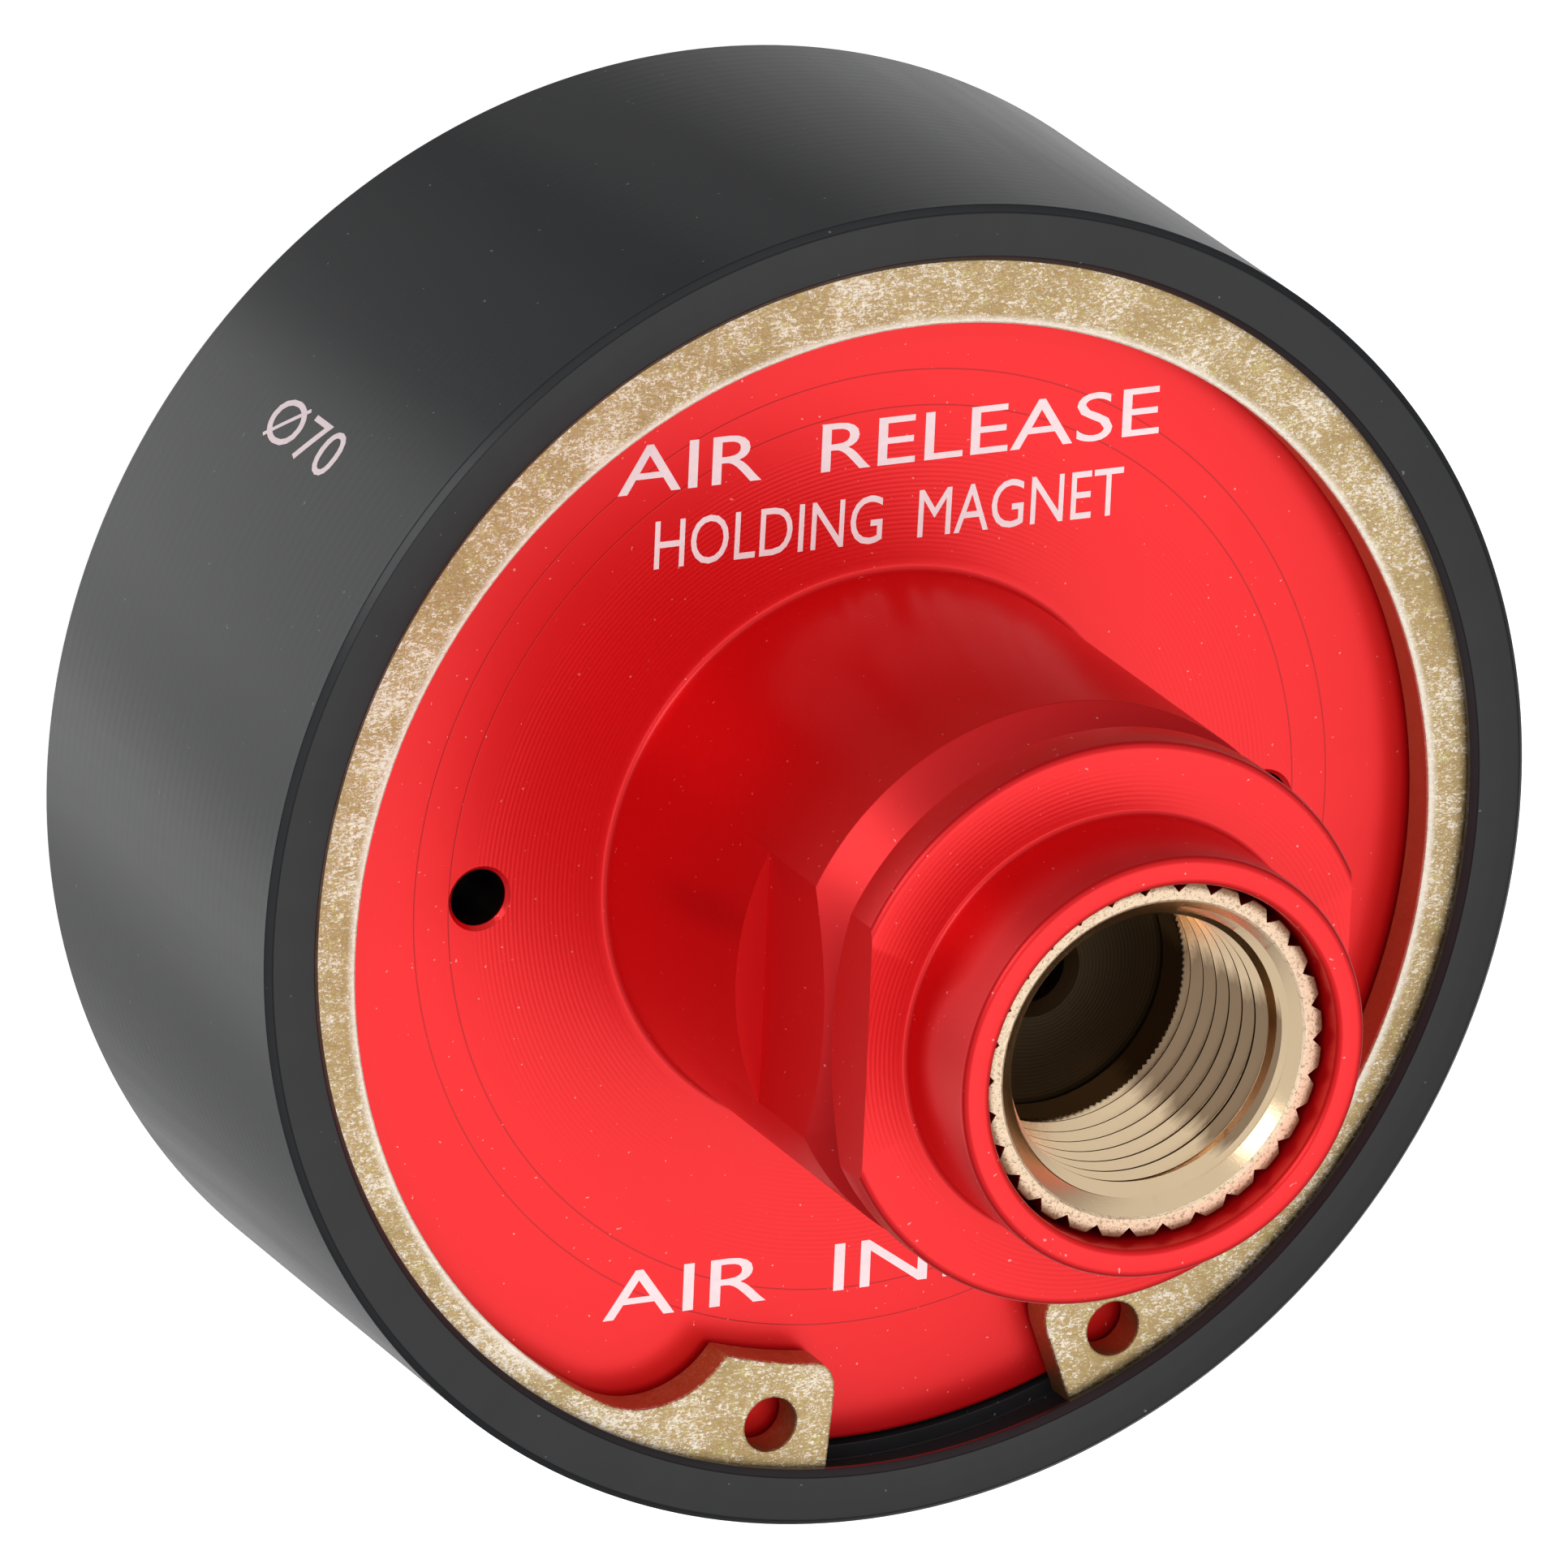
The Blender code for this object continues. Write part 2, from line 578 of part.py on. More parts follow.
def main():
    clear_scene()
    black = material("black_anodised", (0.018, 0.02, 0.023), 0.35, 0.6)
    red = material("red_anodised", (0.75, 0.02, 0.025), 0.32, 0.65)
    zinc = material("yellow_zinc", (0.62, 0.5, 0.3), 0.4, 0.9)
    brass = material("brass", (0.85, 0.66, 0.38), 0.25, 1.0)
    rubber = material("black_rubber", (0.015, 0.015, 0.015), 0.6, 0.0)
    aluminium = material("aluminium", (0.75, 0.76, 0.78), 0.35, 1.0)
    steel = material("plain_steel", (0.5, 0.5, 0.52), 0.35, 1.0)
    nickel = material("nickel_plate", (0.7, 0.7, 0.68), 0.2, 1.0)
    acetal = material("black_acetal", (0.03, 0.03, 0.03), 0.45, 0.0)
    band = material("guide_band", (0.25, 0.14, 0.07), 0.6, 0.0)
    housing(black)
    grip_pad(rubber)
    end_cap(red)
    o_ring("cap_o_ring", CAP_SEAL_R, CAP_SEAL_SECTION_R, CAP_GROOVE_Z, rubber)
    retaining_ring(zinc)
    port_insert(brass)
    air_tube(steel)
    tube_gasket(rubber)
    spring_seat(steel)
    return_spring(steel)
    bumper_ring(rubber)
    holes = screw_holes()
    moving = [piston(aluminium, holes), wear_ring(band), back_plate(steel, holes), magnet_cage(acetal, holes)]
    moving.append(o_ring("piston_seal", SEAL_R, SEAL_SECTION_R, SEAL_Z, rubber))
    moving.append(o_ring("tube_seal", TUBE_SEAL_R, TUBE_SEAL_SECTION_R, TUBE_SEAL_Z, rubber, MID_STEPS))
    carriage(moving + magnets(nickel) + carrier_screws(steel))


main()
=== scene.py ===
"""Builds the visible pieces of an air-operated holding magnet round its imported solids.

The file is laid out as an add-on: one operator for each piece or group of like pieces and one for the
stage. Lengths in outlines are in millimetres, and MM turns them into metres where meshes are made.
"""

from math import atan2, cos, pi, radians, sin, tan

import bpy
from bpy.props import FloatProperty, FloatVectorProperty, IntProperty, PointerProperty, StringProperty
from mathutils import Matrix, Vector


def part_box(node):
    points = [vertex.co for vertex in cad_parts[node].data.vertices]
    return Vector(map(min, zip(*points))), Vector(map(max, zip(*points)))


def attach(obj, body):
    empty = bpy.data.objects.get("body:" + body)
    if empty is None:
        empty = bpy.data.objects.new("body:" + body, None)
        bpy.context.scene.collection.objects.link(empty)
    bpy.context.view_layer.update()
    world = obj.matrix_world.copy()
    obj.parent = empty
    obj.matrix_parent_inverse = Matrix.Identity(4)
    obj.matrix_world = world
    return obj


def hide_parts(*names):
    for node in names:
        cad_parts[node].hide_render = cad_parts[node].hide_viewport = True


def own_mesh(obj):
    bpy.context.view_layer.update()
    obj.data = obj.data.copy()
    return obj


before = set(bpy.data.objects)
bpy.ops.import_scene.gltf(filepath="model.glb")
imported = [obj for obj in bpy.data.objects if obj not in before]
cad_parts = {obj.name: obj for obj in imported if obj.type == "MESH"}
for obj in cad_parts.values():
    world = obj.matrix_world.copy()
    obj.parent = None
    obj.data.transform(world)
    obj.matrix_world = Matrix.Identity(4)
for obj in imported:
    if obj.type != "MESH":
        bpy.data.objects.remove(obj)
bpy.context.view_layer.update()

bl_info = {
    "name": "Air Holding Magnet",
    "version": (1, 0, 0),
    "blender": (4, 5, 0),
    "location": "3D View > Sidebar > Magnet",
    "description": "Builds the pieces of an air-operated holding magnet with their finishes",
    "category": "Object",
}

MM = 0.001
FINE = 256
MEDIUM = 128
SMALL = 48
ARC_STEPS = 5
MERGE = 1e-6
SMOOTH_ANGLE = radians(22.0)
AIR = 0.3                       # gap between neighbouring pieces, in millimetres
TURNING_PITCH = 0.25            # of the turning marks on the cap
SCRIBED = (23.5, 25.4)          # radii of the fine circles on the cap's face
RAMP_SPAN = 30.0                # radius in millimetres at the right end of the cap's ramps
LUGS_FROM = 22.5                # distance towards the ring's gap where the lugs begin
STREAK_ANGLE = radians(-19.0)   # direction of the painted dark reflection in the port's thread


# ---------------------------------------------------------------- sizes and colours

def length(name, description, millimetres):
    return FloatProperty(name=name, description=description, default=millimetres * MM,
                         unit="LENGTH", precision=5)


def colour(name, description, value):
    return FloatVectorProperty(name=name, description=description, default=value, size=3,
                               subtype="COLOR", min=0.0, max=1.0)


def top_of(node):
    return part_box(node)[1].z / MM


def foot_of(node):
    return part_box(node)[0].z / MM


def radius_of(node):
    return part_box(node)[1].x / MM


class MagnetCup(bpy.types.PropertyGroup):
    radius: length("Radius", "Outer radius of the cup", radius_of("housing"))
    height: length("Height", "Height of the cup's rim over the working face", top_of("housing"))
    bore: length("Bore", "Radius of the bore that holds the cap", 32.05)
    low_bore: length("Piston bore", "Radius of the bore that the piston runs in", 31.2)
    groove: length("Ring groove", "Radius of the groove for the retaining ring", 32.85)
    floor: length("Floor", "Thickness of the working floor", 2.0)


class MagnetCap(bpy.types.PropertyGroup):
    radius: length("Radius", "Outer radius of the cap", radius_of("end_cap"))
    face: length("Face height", "Height of the cap's flat face", 24.35)
    dish: length("Dish radius", "Radius where the hollow round the hub begins", 21.5)
    dish_depth: length("Dish depth", "Depth of the hollow at the hub", 0.12)
    hub: length("Hub radius", "Radius of the hub and the flange", 14.74)
    flat: length("Half width across flats", "Distance of a wrench flat from the axis", 13.17)
    flat_foot: length("Flat foot", "Height where the wrench flats begin", 39.25)
    flange: length("Flange face", "Height of the flange's face", 51.04)
    spigot: length("Spigot radius", "Outer radius of the spigot", 11.0)
    vent: length("Vent radius", "Radius of the two breather holes", 1.5)
    vent_at: length("Vent place", "Distance of a breather hole from the axis", 21.8)


class MagnetRing(bpy.types.PropertyGroup):
    gap_angle: FloatProperty(name="Gap angle", description="Direction of the ring's gap",
                             default=radians(-81.9), subtype="ANGLE")
    inner: length("Inner radius", "Radius of the offset inner edge", 29.85)
    offset: length("Offset", "Shift of the inner edge towards the gap", 1.32)
    scallop: length("Scallop radius", "Radius of the hollow beside each lug", 5.2)
    lug: length("Lug reach", "Distance of the lugs' inner edge from the axis", 26.6)
    hole: length("Hole radius", "Radius of the plier holes", 1.45)


class MagnetPort(bpy.types.PropertyGroup):
    pitch: length("Pitch", "Rise of the thread in one turn", 1.411)
    crest: length("Crest radius", "Radius of the thread's crest", 6.95)
    depth: length("Depth", "Depth of the thread's groove", 0.9)
    teeth: IntProperty(name="Teeth", description="Number of teeth of the knurl", default=30, min=3)


class MagnetLook(bpy.types.PropertyGroup):
    black: colour("Cup", "Anodised black", (0.018, 0.019, 0.021))
    red: colour("Cap", "Anodised red", (0.72, 0.003, 0.006))
    zinc: colour("Ring", "Yellow zinc plating", (0.455, 0.32, 0.145))
    brass: colour("Port", "Bright brass", (0.92, 0.70, 0.45))
    mark: colour("Marking", "Laser marking", (0.92, 0.76, 0.78))
    first_line: StringProperty(name="First line", description="Upper marking", default="AIR  RELEASE")
    second_line: StringProperty(name="Second line", description="Middle marking", default="HOLDING  MAGNET")
    third_line: StringProperty(name="Third line", description="Lower marking", default="AIR  INLET")
    side_line: StringProperty(name="Side line", description="Cup's diameter", default="\u00d870")


# ---------------------------------------------------------------- modelling by hand

def deselect():
    if bpy.context.object and bpy.context.object.mode == "EDIT":
        bpy.ops.object.mode_set(mode="OBJECT")
    bpy.ops.object.select_all(action="DESELECT")


def activate(piece):
    deselect()
    piece.select_set(True)
    bpy.context.view_layer.objects.active = piece


def added(name):
    """Names the object that an operator has just added."""
    piece = bpy.context.object
    piece.name = name
    piece.data.name = name
    return piece


def trace(name, points):
    """Starts a piece as one vertex and extrudes it from point to point; leaves it in edit mode."""
    deselect()
    bpy.ops.mesh.primitive_plane_add(size=MM, location=(0, 0, 0))
    piece = added(name)
    bpy.ops.object.mode_set(mode="EDIT")
    bpy.ops.mesh.select_all(action="SELECT")
    bpy.ops.mesh.merge(type="CENTER")
    bpy.ops.transform.translate(value=points[0])
    for here, following in zip(points, points[1:]):
        bpy.ops.mesh.extrude_region_move(TRANSFORM_OT_translate={"value": following - here})
    bpy.ops.mesh.select_all(action="SELECT")
    return piece


def clean():
    """Merges doubles and turns every face outwards, in edit mode, and leaves edit mode."""
    bpy.ops.mesh.select_all(action="SELECT")
    bpy.ops.mesh.remove_doubles(threshold=MERGE)
    bpy.ops.mesh.normals_make_consistent(inside=False)
    bpy.ops.object.mode_set(mode="OBJECT")


def rounded(corners, closed=True):
    """Points of an outline whose corners (across, up, rounding) are rounded by arcs."""
    points = []
    for i, (across, up, rounding) in enumerate(corners):
        here = Vector((across, up))
        at_end = not closed and i in (0, len(corners) - 1)
        if rounding == 0 or at_end:
            points.append(here)
            continue
        before = (Vector(corners[i - 1][:2]) - here).normalized()
        after = (Vector(corners[(i + 1) % len(corners)][:2]) - here).normalized()
        half = before.angle(after) / 2
        centre = here + (before + after).normalized() * rounding / sin(half)
        first = here + before * rounding / tan(half) - centre
        last = here + after * rounding / tan(half) - centre
        start = atan2(first.y, first.x)
        sweep = (atan2(last.y, last.x) - start + pi) % (2 * pi) - pi
        for k in range(ARC_STEPS + 1):
            angle = start + sweep * k / ARC_STEPS
            points.append(centre + Vector((cos(angle), sin(angle))) * rounding)
    return points


def lathe(name, corners, steps=FINE, closed=True):
    """Turns an outline of (radius, height, rounding) corners round the Z axis, in millimetres.

    A closed outline makes a ring; an open one starts and ends on the axis and makes a solid."""
    flat = rounded(corners, closed)
    if closed:
        flat.append(flat[0])
    piece = trace(name, [Vector((p.x, 0, p.y)) * MM for p in flat])
    bpy.ops.mesh.spin(steps=steps, angle=2 * pi, use_auto_merge=True, center=(0, 0, 0), axis=(0, 0, 1))
    clean()
    return piece


def plate(name, points, low, high):
    """A flat outline of plane points in millimetres, filled and extruded from one height to another."""
    piece = trace(name, [Vector((p.x, p.y, low)) * MM for p in points])
    bpy.ops.mesh.edge_face_add()
    rise = Vector((0, 0, high - low)) * MM
    bpy.ops.mesh.extrude_region_move(TRANSFORM_OT_translate={"value": rise})
    clean()
    return piece


def drill(radius, low, high, x=0.0, y=0.0, mouth=0.0):
    """A tool for a round hole, in millimetres; mouth widens its upper end by a 45 degree chamfer."""
    corners = [(0, low, 0), (radius, low, 0), (radius, high - 1 - mouth, 0), (radius + mouth + 1, high, 0),
               (0, high, 0)]
    if mouth == 0:
        corners = [(0, low, 0), (radius, low, 0), (radius, high, 0), (0, high, 0)]
    tool = lathe("drill", corners, SMALL, closed=False)
    tool.location = (x * MM, y * MM, 0)
    return tool


def apply_step(piece, kind, **settings):
    """Adds a modifier with its settings and applies it."""
    step = piece.modifiers.new(kind.lower(), kind)
    for name, value in settings.items():
        setattr(step, name, value)
    activate(piece)
    bpy.ops.object.modifier_apply(modifier=step.name)


def cut_away(piece, *tools):
    """Cuts each tool's shape out of a piece and throws the tool away."""
    for tool in tools:
        apply_step(piece, "BOOLEAN", operation="DIFFERENCE", solver="EXACT", object=tool)
        bpy.data.objects.remove(tool)


def soften(piece, width, angle):
    """Breaks every edge that is sharper than an angle in degrees by a small bevel."""
    apply_step(piece, "BEVEL", width=width * MM, segments=2, limit_method="ANGLE",
               angle_limit=radians(angle), use_clamp_overlap=True)


def wind(piece, rise, turns, steps):
    """Winds an outline round the Z axis; rise is in millimetres for each turn."""
    apply_step(piece, "SCREW", axis="Z", screw_offset=rise * MM, iterations=turns, steps=steps,
               render_steps=steps, use_merge_vertices=False)


def joined(pieces):
    """Joins pieces into the first of them."""
    deselect()
    for piece in pieces:
        piece.select_set(True)
    bpy.context.view_layer.objects.active = pieces[0]
    bpy.ops.object.join()
    return bpy.context.object


def close_ends(piece, threshold=MERGE):
    """Merges doubles and fills the open ends of a wound piece."""
    activate(piece)
    bpy.ops.object.mode_set(mode="EDIT")
    bpy.ops.mesh.select_all(action="SELECT")
    bpy.ops.mesh.remove_doubles(threshold=threshold)
    bpy.ops.mesh.fill_holes(sides=0)
    clean()


def settle(piece, body, node, finish):
    """Applies a piece's place, shades it and hands it to the frame."""
    activate(piece)
    bpy.ops.object.transform_apply(location=True, rotation=True, scale=True)
    bpy.ops.object.shade_smooth_by_angle(angle=SMOOTH_ANGLE)
    piece.data.materials.clear()
    piece.data.materials.append(finish)
    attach(piece, body)
    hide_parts(node)
    return piece


# ---------------------------------------------------------------- finishes

class Wire:
    """A node's socket that can stand in sums; each sum adds its Math node."""

    def __init__(self, recipe, socket):
        self.recipe = recipe
        self.socket = socket

    def sum_up(self, operation, *values):
        return self.recipe.node("ShaderNodeMath", {"operation": operation}, dict(enumerate(values)))

    def __add__(self, other):
        return self.sum_up("ADD", self, other)

    __radd__ = __add__

    def __mul__(self, other):
        return self.sum_up("MULTIPLY", self, other)

    __rmul__ = __mul__

    def __sub__(self, other):
        return self.sum_up("SUBTRACT", self, other)

    def __rsub__(self, other):
        return self.sum_up("SUBTRACT", other, self)

    def __truediv__(self, other):
        return self.sum_up("DIVIDE", self, other)

    def __pow__(self, other):
        return self.sum_up("POWER", self, other)

    def sine(self):
        return self.sum_up("SINE", self)

    def above(self, edge):
        return self.sum_up("GREATER_THAN", self, edge)

    def most(self, other):
        return self.sum_up("MAXIMUM", self, other)

    def magnitude(self):
        return self.sum_up("ABSOLUTE", self)


class Recipe:
    """One finish: a material and the nodes round its Principled shader."""

    def __init__(self, name, colour, roughness, metallic, constants=None):
        self.material = bpy.data.materials.new(name)
        self.material.use_nodes = True
        self.tree = self.material.node_tree
        self.shader = self.tree.nodes["Principled BSDF"]
        self.material.diffuse_color = (*colour, 1.0)
        self.put(self.shader.inputs["Base Color"], (*colour, 1.0))
        self.put(self.shader.inputs["Roughness"], roughness)
        self.put(self.shader.inputs["Metallic"], metallic)
        for socket, value in (constants or {}).items():
            self.put(self.shader.inputs[socket], value)

    def put(self, socket, value):
        if isinstance(value, Wire):
            self.tree.links.new(value.socket, socket)
        else:
            socket.default_value = value

    def node(self, kind, settings=None, values=None, output=0):
        """Adds a node, sets its settings first, and then sets or links its sockets."""
        made = self.tree.nodes.new(kind)
        for name, value in (settings or {}).items():
            if name == "stops":
                ramp = made.color_ramp
                for element, (place, shade) in zip((ramp.elements[0], ramp.elements[1]), value):
                    element.position = place
                    element.color = shade
                for place, shade in value[2:]:
                    ramp.elements.new(place).color = shade
            else:
                setattr(made, name, value)
        for name, value in (values or {}).items():
            self.put(made.inputs[name], value)
        return Wire(self, made.outputs[output])

    def place(self):
        return self.node("ShaderNodeTexCoord", output="Object")

    def parts(self, vector):
        """The three numbers of a vector."""
        split = self.tree.nodes.new("ShaderNodeSeparateXYZ")
        self.tree.links.new(vector.socket, split.inputs[0])
        return [Wire(self, out) for out in split.outputs]

    def polar(self):
        """Distance from the Z axis, angle round it in radians, and height."""
        x, y, z = self.parts(self.place())
        return (x * x + y * y) ** 0.5, x.sum_up("ARCTAN2", y, x), z

    def noise(self, scale, detail=3.0, roughness=0.55, vector=None, distortion=0.0):
        return self.node("ShaderNodeTexNoise", {}, {"Vector": vector or self.place(), "Scale": scale,
                                                    "Detail": detail, "Roughness": roughness,
                                                    "Distortion": distortion})

    def ramp(self, value, *stops):
        grey = [(place, (shade, shade, shade, 1.0)) for place, shade in stops]
        return self.node("ShaderNodeValToRGB", {"stops": grey}, {"Fac": value})

    def vector(self, x, y, z):
        return self.node("ShaderNodeCombineXYZ", {}, {"X": x, "Y": y, "Z": z})

    def mix(self, share, first, second):
        """Mixes two colours, each a wire or three numbers."""
        sides = [side if isinstance(side, Wire) else (*side, 1.0) for side in (first, second)]
        return self.node("ShaderNodeMix", {"data_type": "RGBA"}, {0: share, 6: sides[0], 7: sides[1]}, output=2)

    def shaded(self, share, colour, dark, light):
        """Mixes a darker and a lighter shade of a colour."""
        return self.mix(share, *(tuple(min(1.0, part * scale) for part in colour) for scale in (dark, light)))

    def colour(self, value):
        self.put(self.shader.inputs["Base Color"], value)

    def gloss(self, value):
        self.put(self.shader.inputs["Roughness"], value)

    def metal(self, value):
        self.put(self.shader.inputs["Metallic"], value)

    def relief(self, height, depth):
        """Bumps the surface by a height from 0 to 1 that stands for a depth in millimetres."""
        bump = self.node("ShaderNodeBump", {}, {"Height": height, "Distance": depth * MM, "Strength": 1.0})
        self.put(self.shader.inputs["Normal"], bump)


def cup_finish(look):
    """Hard black anodising over a fine turned skin, with faint smears and dust, and painted shade darkening the
    rim's top.
    """
    made = Recipe("black_anodised", look.black, 0.24, 0.0, {"Specular IOR Level": 0.30})
    radius, angle, height = made.polar()
    turning = (height * 9000.0 + radius * 7000.0).sine() * 0.5 + 0.5
    grain = made.noise(900.0, 4.0)
    streaks = made.noise(1.0, 5.0, 0.7, made.vector(angle * 9.0, height * 18.0, radius * 40.0))
    smear = made.noise(26.0, 3.0, 0.5)
    dust = made.ramp(made.noise(2600.0, 1.0, 0.3), (0.80, 0.0), (0.815, 1.0))
    # The rim's top face: its colour is darkened towards black as painted shade.
    rim = (height / MM).above(top_of("housing") - 0.05)
    shade = made.shaded(smear * 0.5 + streaks * 0.5, look.black, 0.75, 1.35)
    made.colour(made.mix(dust * 0.4, made.mix(rim * 0.75, shade, (0.0, 0.0, 0.0)), (0.30, 0.31, 0.33)))
    made.gloss(0.17 + streaks * 0.16 + rim * 0.08 + dust * 0.2)
    made.relief(turning * 0.35 + grain * 0.65, 0.005)
    return made.material


def cap_finish(look, cap):
    """Red anodising with turning marks round the hub, two scribed circles and tiny pale specks; the breather
    holes' walls are painted near black as shade.
    """
    made = Recipe("red_anodised", look.red, 0.36, 0.5, {"Coat Weight": 0.08, "Coat Roughness": 0.3})
    radius, _, height = made.polar()
    x, y, _ = (part / MM for part in made.parts(made.place()))
    across, up = radius / MM, height / MM
    face = cap.face / MM
    waver = made.noise(45.0, 2.0) * 0.8
    rings = (across * (2 * pi / TURNING_PITCH) + waver).sine() * 0.5 + 0.5
    on_flange = up.above(cap.flange / MM - 0.24)
    faces = on_flange.most(1 - up.above(face + 0.25))
    share = across / RAMP_SPAN
    round_hub = made.ramp(share, (0.51, 0.15), (0.75, 0.0), (0.57, 0.9), (0.71, 1.0))
    round_spigot = on_flange * made.ramp(share, (0.37, 0.0), (0.49, 0.0), (0.40, 1.0), (0.46, 0.6))
    scribed = faces * sum((1 - ((across - place) * 20.0) ** 2).most(0.0) for place in SCRIBED)
    grain = made.noise(2600.0, 3.0)
    made.relief(rings * faces * round_hub.most(round_spigot) * 0.5 + grain * 0.22 - scribed * 0.5, 0.009)
    tone = made.noise(34.0, 3.0, 0.55)
    lined = made.mix(scribed * 0.5, made.shaded(tone, look.red, 0.94, 1.06), (0.10, 0.0, 0.0))
    speck = made.ramp(made.noise(4200.0, 1.0, 0.2), (0.79, 0.0), (0.81, 1.0))
    speckled = made.mix(speck * 0.4, lined, (0.95, 0.5, 0.48))
    # Painted shade: the breather holes' walls below the face are painted near black and not metallic.
    aside = x.magnitude() - cap.vent_at / MM
    in_vent = 1 - (aside * aside + y * y).above((cap.vent / MM + 0.12) ** 2)
    vent = in_vent * (1 - up.above(face - 0.3))
    made.colour(made.mix(vent, speckled, (0.004, 0.001, 0.001)))
    made.gloss(0.32 + tone * 0.06)
    made.metal(0.5 - vent * 0.5)
    return made.material


def ring_finish(look, ring):
    """Yellow zinc plating: golden tan, full of small crystals with painted pale glints, with a painted
    highlight along the inner edge and painted shade on the walls.
    """
    made = Recipe("yellow_zinc", look.zinc, 0.42, 0.85)
    x, y, z = (part / MM for part in made.parts(made.place()))
    clouds = made.noise(190.0, 4.0, 0.65)
    crystals = made.noise(4600.0, 5.0, 0.8, distortion=1.0)
    turned = made.node("ShaderNodeMapping", {}, {"Vector": made.place(), "Rotation": (0.0, 0.0, 0.9),
                                                 "Scale": (1.0, 3.2, 1.0)})
    needles = made.noise(3000.0, 4.0, 0.75, turned, 0.6)
    # The pale flakes are painted glints on the plating's crystals.
    flake = made.ramp(crystals * 0.55 + needles * 0.45 + clouds * 0.30 - 0.15, (0.51, 0.0), (0.56, 1.0))
    green = made.ramp(made.noise(1500.0, 3.0, 0.7), (0.58, 0.0), (0.64, 1.0))
    gap_x, gap_y, offset = cos(ring.gap_angle), sin(ring.gap_angle), ring.offset / MM
    away_x, away_y = x - gap_x * offset, y - gap_y * offset
    off_edge = ((away_x * away_x + away_y * away_y) ** 0.5 - (ring.inner / MM + 0.15)).magnitude()
    off_lugs = 1 - (x * gap_x + y * gap_y).above(LUGS_FROM)
    # Painted highlight along the ring's inner edge, kept off the lugs.
    edge_highlight = made.ramp(off_edge + needles * 0.9 - 0.45, (0.02, 1.0), (0.36, 0.0)) * off_lugs * 0.8
    top = z.above(top_of("retaining_ring") - 0.22)
    # The painted glints and edge highlight are weaker on the walls than on the top face.
    pale = (flake * 0.8).most(edge_highlight) * (top * 0.85 + 0.15)
    tinted = made.mix(green * 0.35, made.shaded(clouds, look.zinc, 0.66, 1.30), (0.56, 0.52, 0.16))
    # Painted shade: the walls are darkened to brown.
    with_wall_shade = made.mix((1 - top) * 0.6, tinted, (0.40, 0.20, 0.06))
    made.colour(made.mix(pale, with_wall_shade, (0.92, 0.86, 0.76)))
    made.gloss(0.24 + crystals * 0.34)
    made.metal(0.92 - pale * 0.35)
    made.relief(crystals * 0.6 + needles * 0.4, 0.05)
    return made.material


def port_finish(look):
    """Machined brass: bright in the thread but for one painted dark reflection, speckled on the sawn front
    face.
    """
    made = Recipe("brass", look.brass, 0.2, 1.0)
    radius, angle, height = made.polar()
    x, y, _ = made.parts(made.place())
    across = radius / MM
    front = (height / MM).above(top_of("port_insert") - 0.12)
    coarse = made.noise(4200.0, 5.0, 0.8)
    tone = made.noise(160.0, 3.0)
    towards = (x * cos(STREAK_ANGLE) + y * sin(STREAK_ANGLE)) / radius
    drawn = made.noise(1.0, 4.0, 0.7, made.vector(angle * 1.5, height * 2600.0, radius * 300.0))
    # Painted dark reflection: a streak on one side of the thread, darkened towards brown.
    streak = made.ramp(towards + drawn * 0.16 - 0.08, (0.80, 0.0), (0.89, 1.0)) * (1 - across.above(7.5))
    pale = made.mix(front * 0.6, made.shaded(tone, look.brass, 0.94, 1.05), (1.0, 0.86, 0.66))
    pits = made.ramp(coarse, (0.41, 1.0), (0.47, 0.0))
    sawn = made.mix(front * pits * 0.7, pale, (0.42, 0.26, 0.13))
    reflection_streaked = made.mix(streak * 0.8, sawn, (0.20, 0.12, 0.07))
    # The knurl's teeth and the gaps between them are darkened to dark brown: the rough tips' own brown, and
    # painted shade in the gaps.
    tips = made.ramp(across + coarse * 1.2 - 8.8, (0.62, 0.0), (0.85, 1.0))
    made.colour(made.mix(tips * 0.85, reflection_streaked, (0.16, 0.07, 0.025)))
    made.gloss(0.12 + tone * 0.08 + front * 0.24)
    made.relief(coarse * (0.10 + front * 0.90), 0.07)
    return made.material


def turned_metal(name, shade, roughness, metallic=1.0, pitch=0.2):
    """A machined metal with fine turning lines and a slight cloudiness."""
    made = Recipe(name, shade, roughness, metallic)
    radius, _, height = made.polar()
    lines = ((radius + height) * (2 * pi / (pitch * MM))).sine() * 0.5 + 0.5
    cloud = made.noise(110.0, 4.0)
    made.colour(made.shaded(cloud, shade, 0.86, 1.08))
    made.gloss(roughness - 0.05 + cloud * 0.12)
    made.relief(lines * 0.6 + made.noise(1200.0) * 0.4, 0.006)
    return made.material


def moulded(name, shade, roughness):
    """Rubber or plastic with a fine moulded grain."""
    made = Recipe(name, shade, roughness, 0.0)
    cloud = made.noise(70.0, 2.0)
    made.colour(made.shaded(cloud, shade, 0.8, 1.3))
    made.gloss(roughness - 0.06 + cloud * 0.12)
    made.relief(made.noise(1600.0, 4.0, 0.65), 0.02)
    return made.material


def mark_finish(look):
    """Frosted laser marking."""
    made = Recipe("laser_marking", look.mark, 0.55, 0.25)
    frost = made.noise(2200.0, 3.0, 0.7)
    made.colour(made.shaded(frost, look.mark, 0.9, 1.1))
    made.relief(frost, 0.01)
    return made.material


# ---------------------------------------------------------------- operators

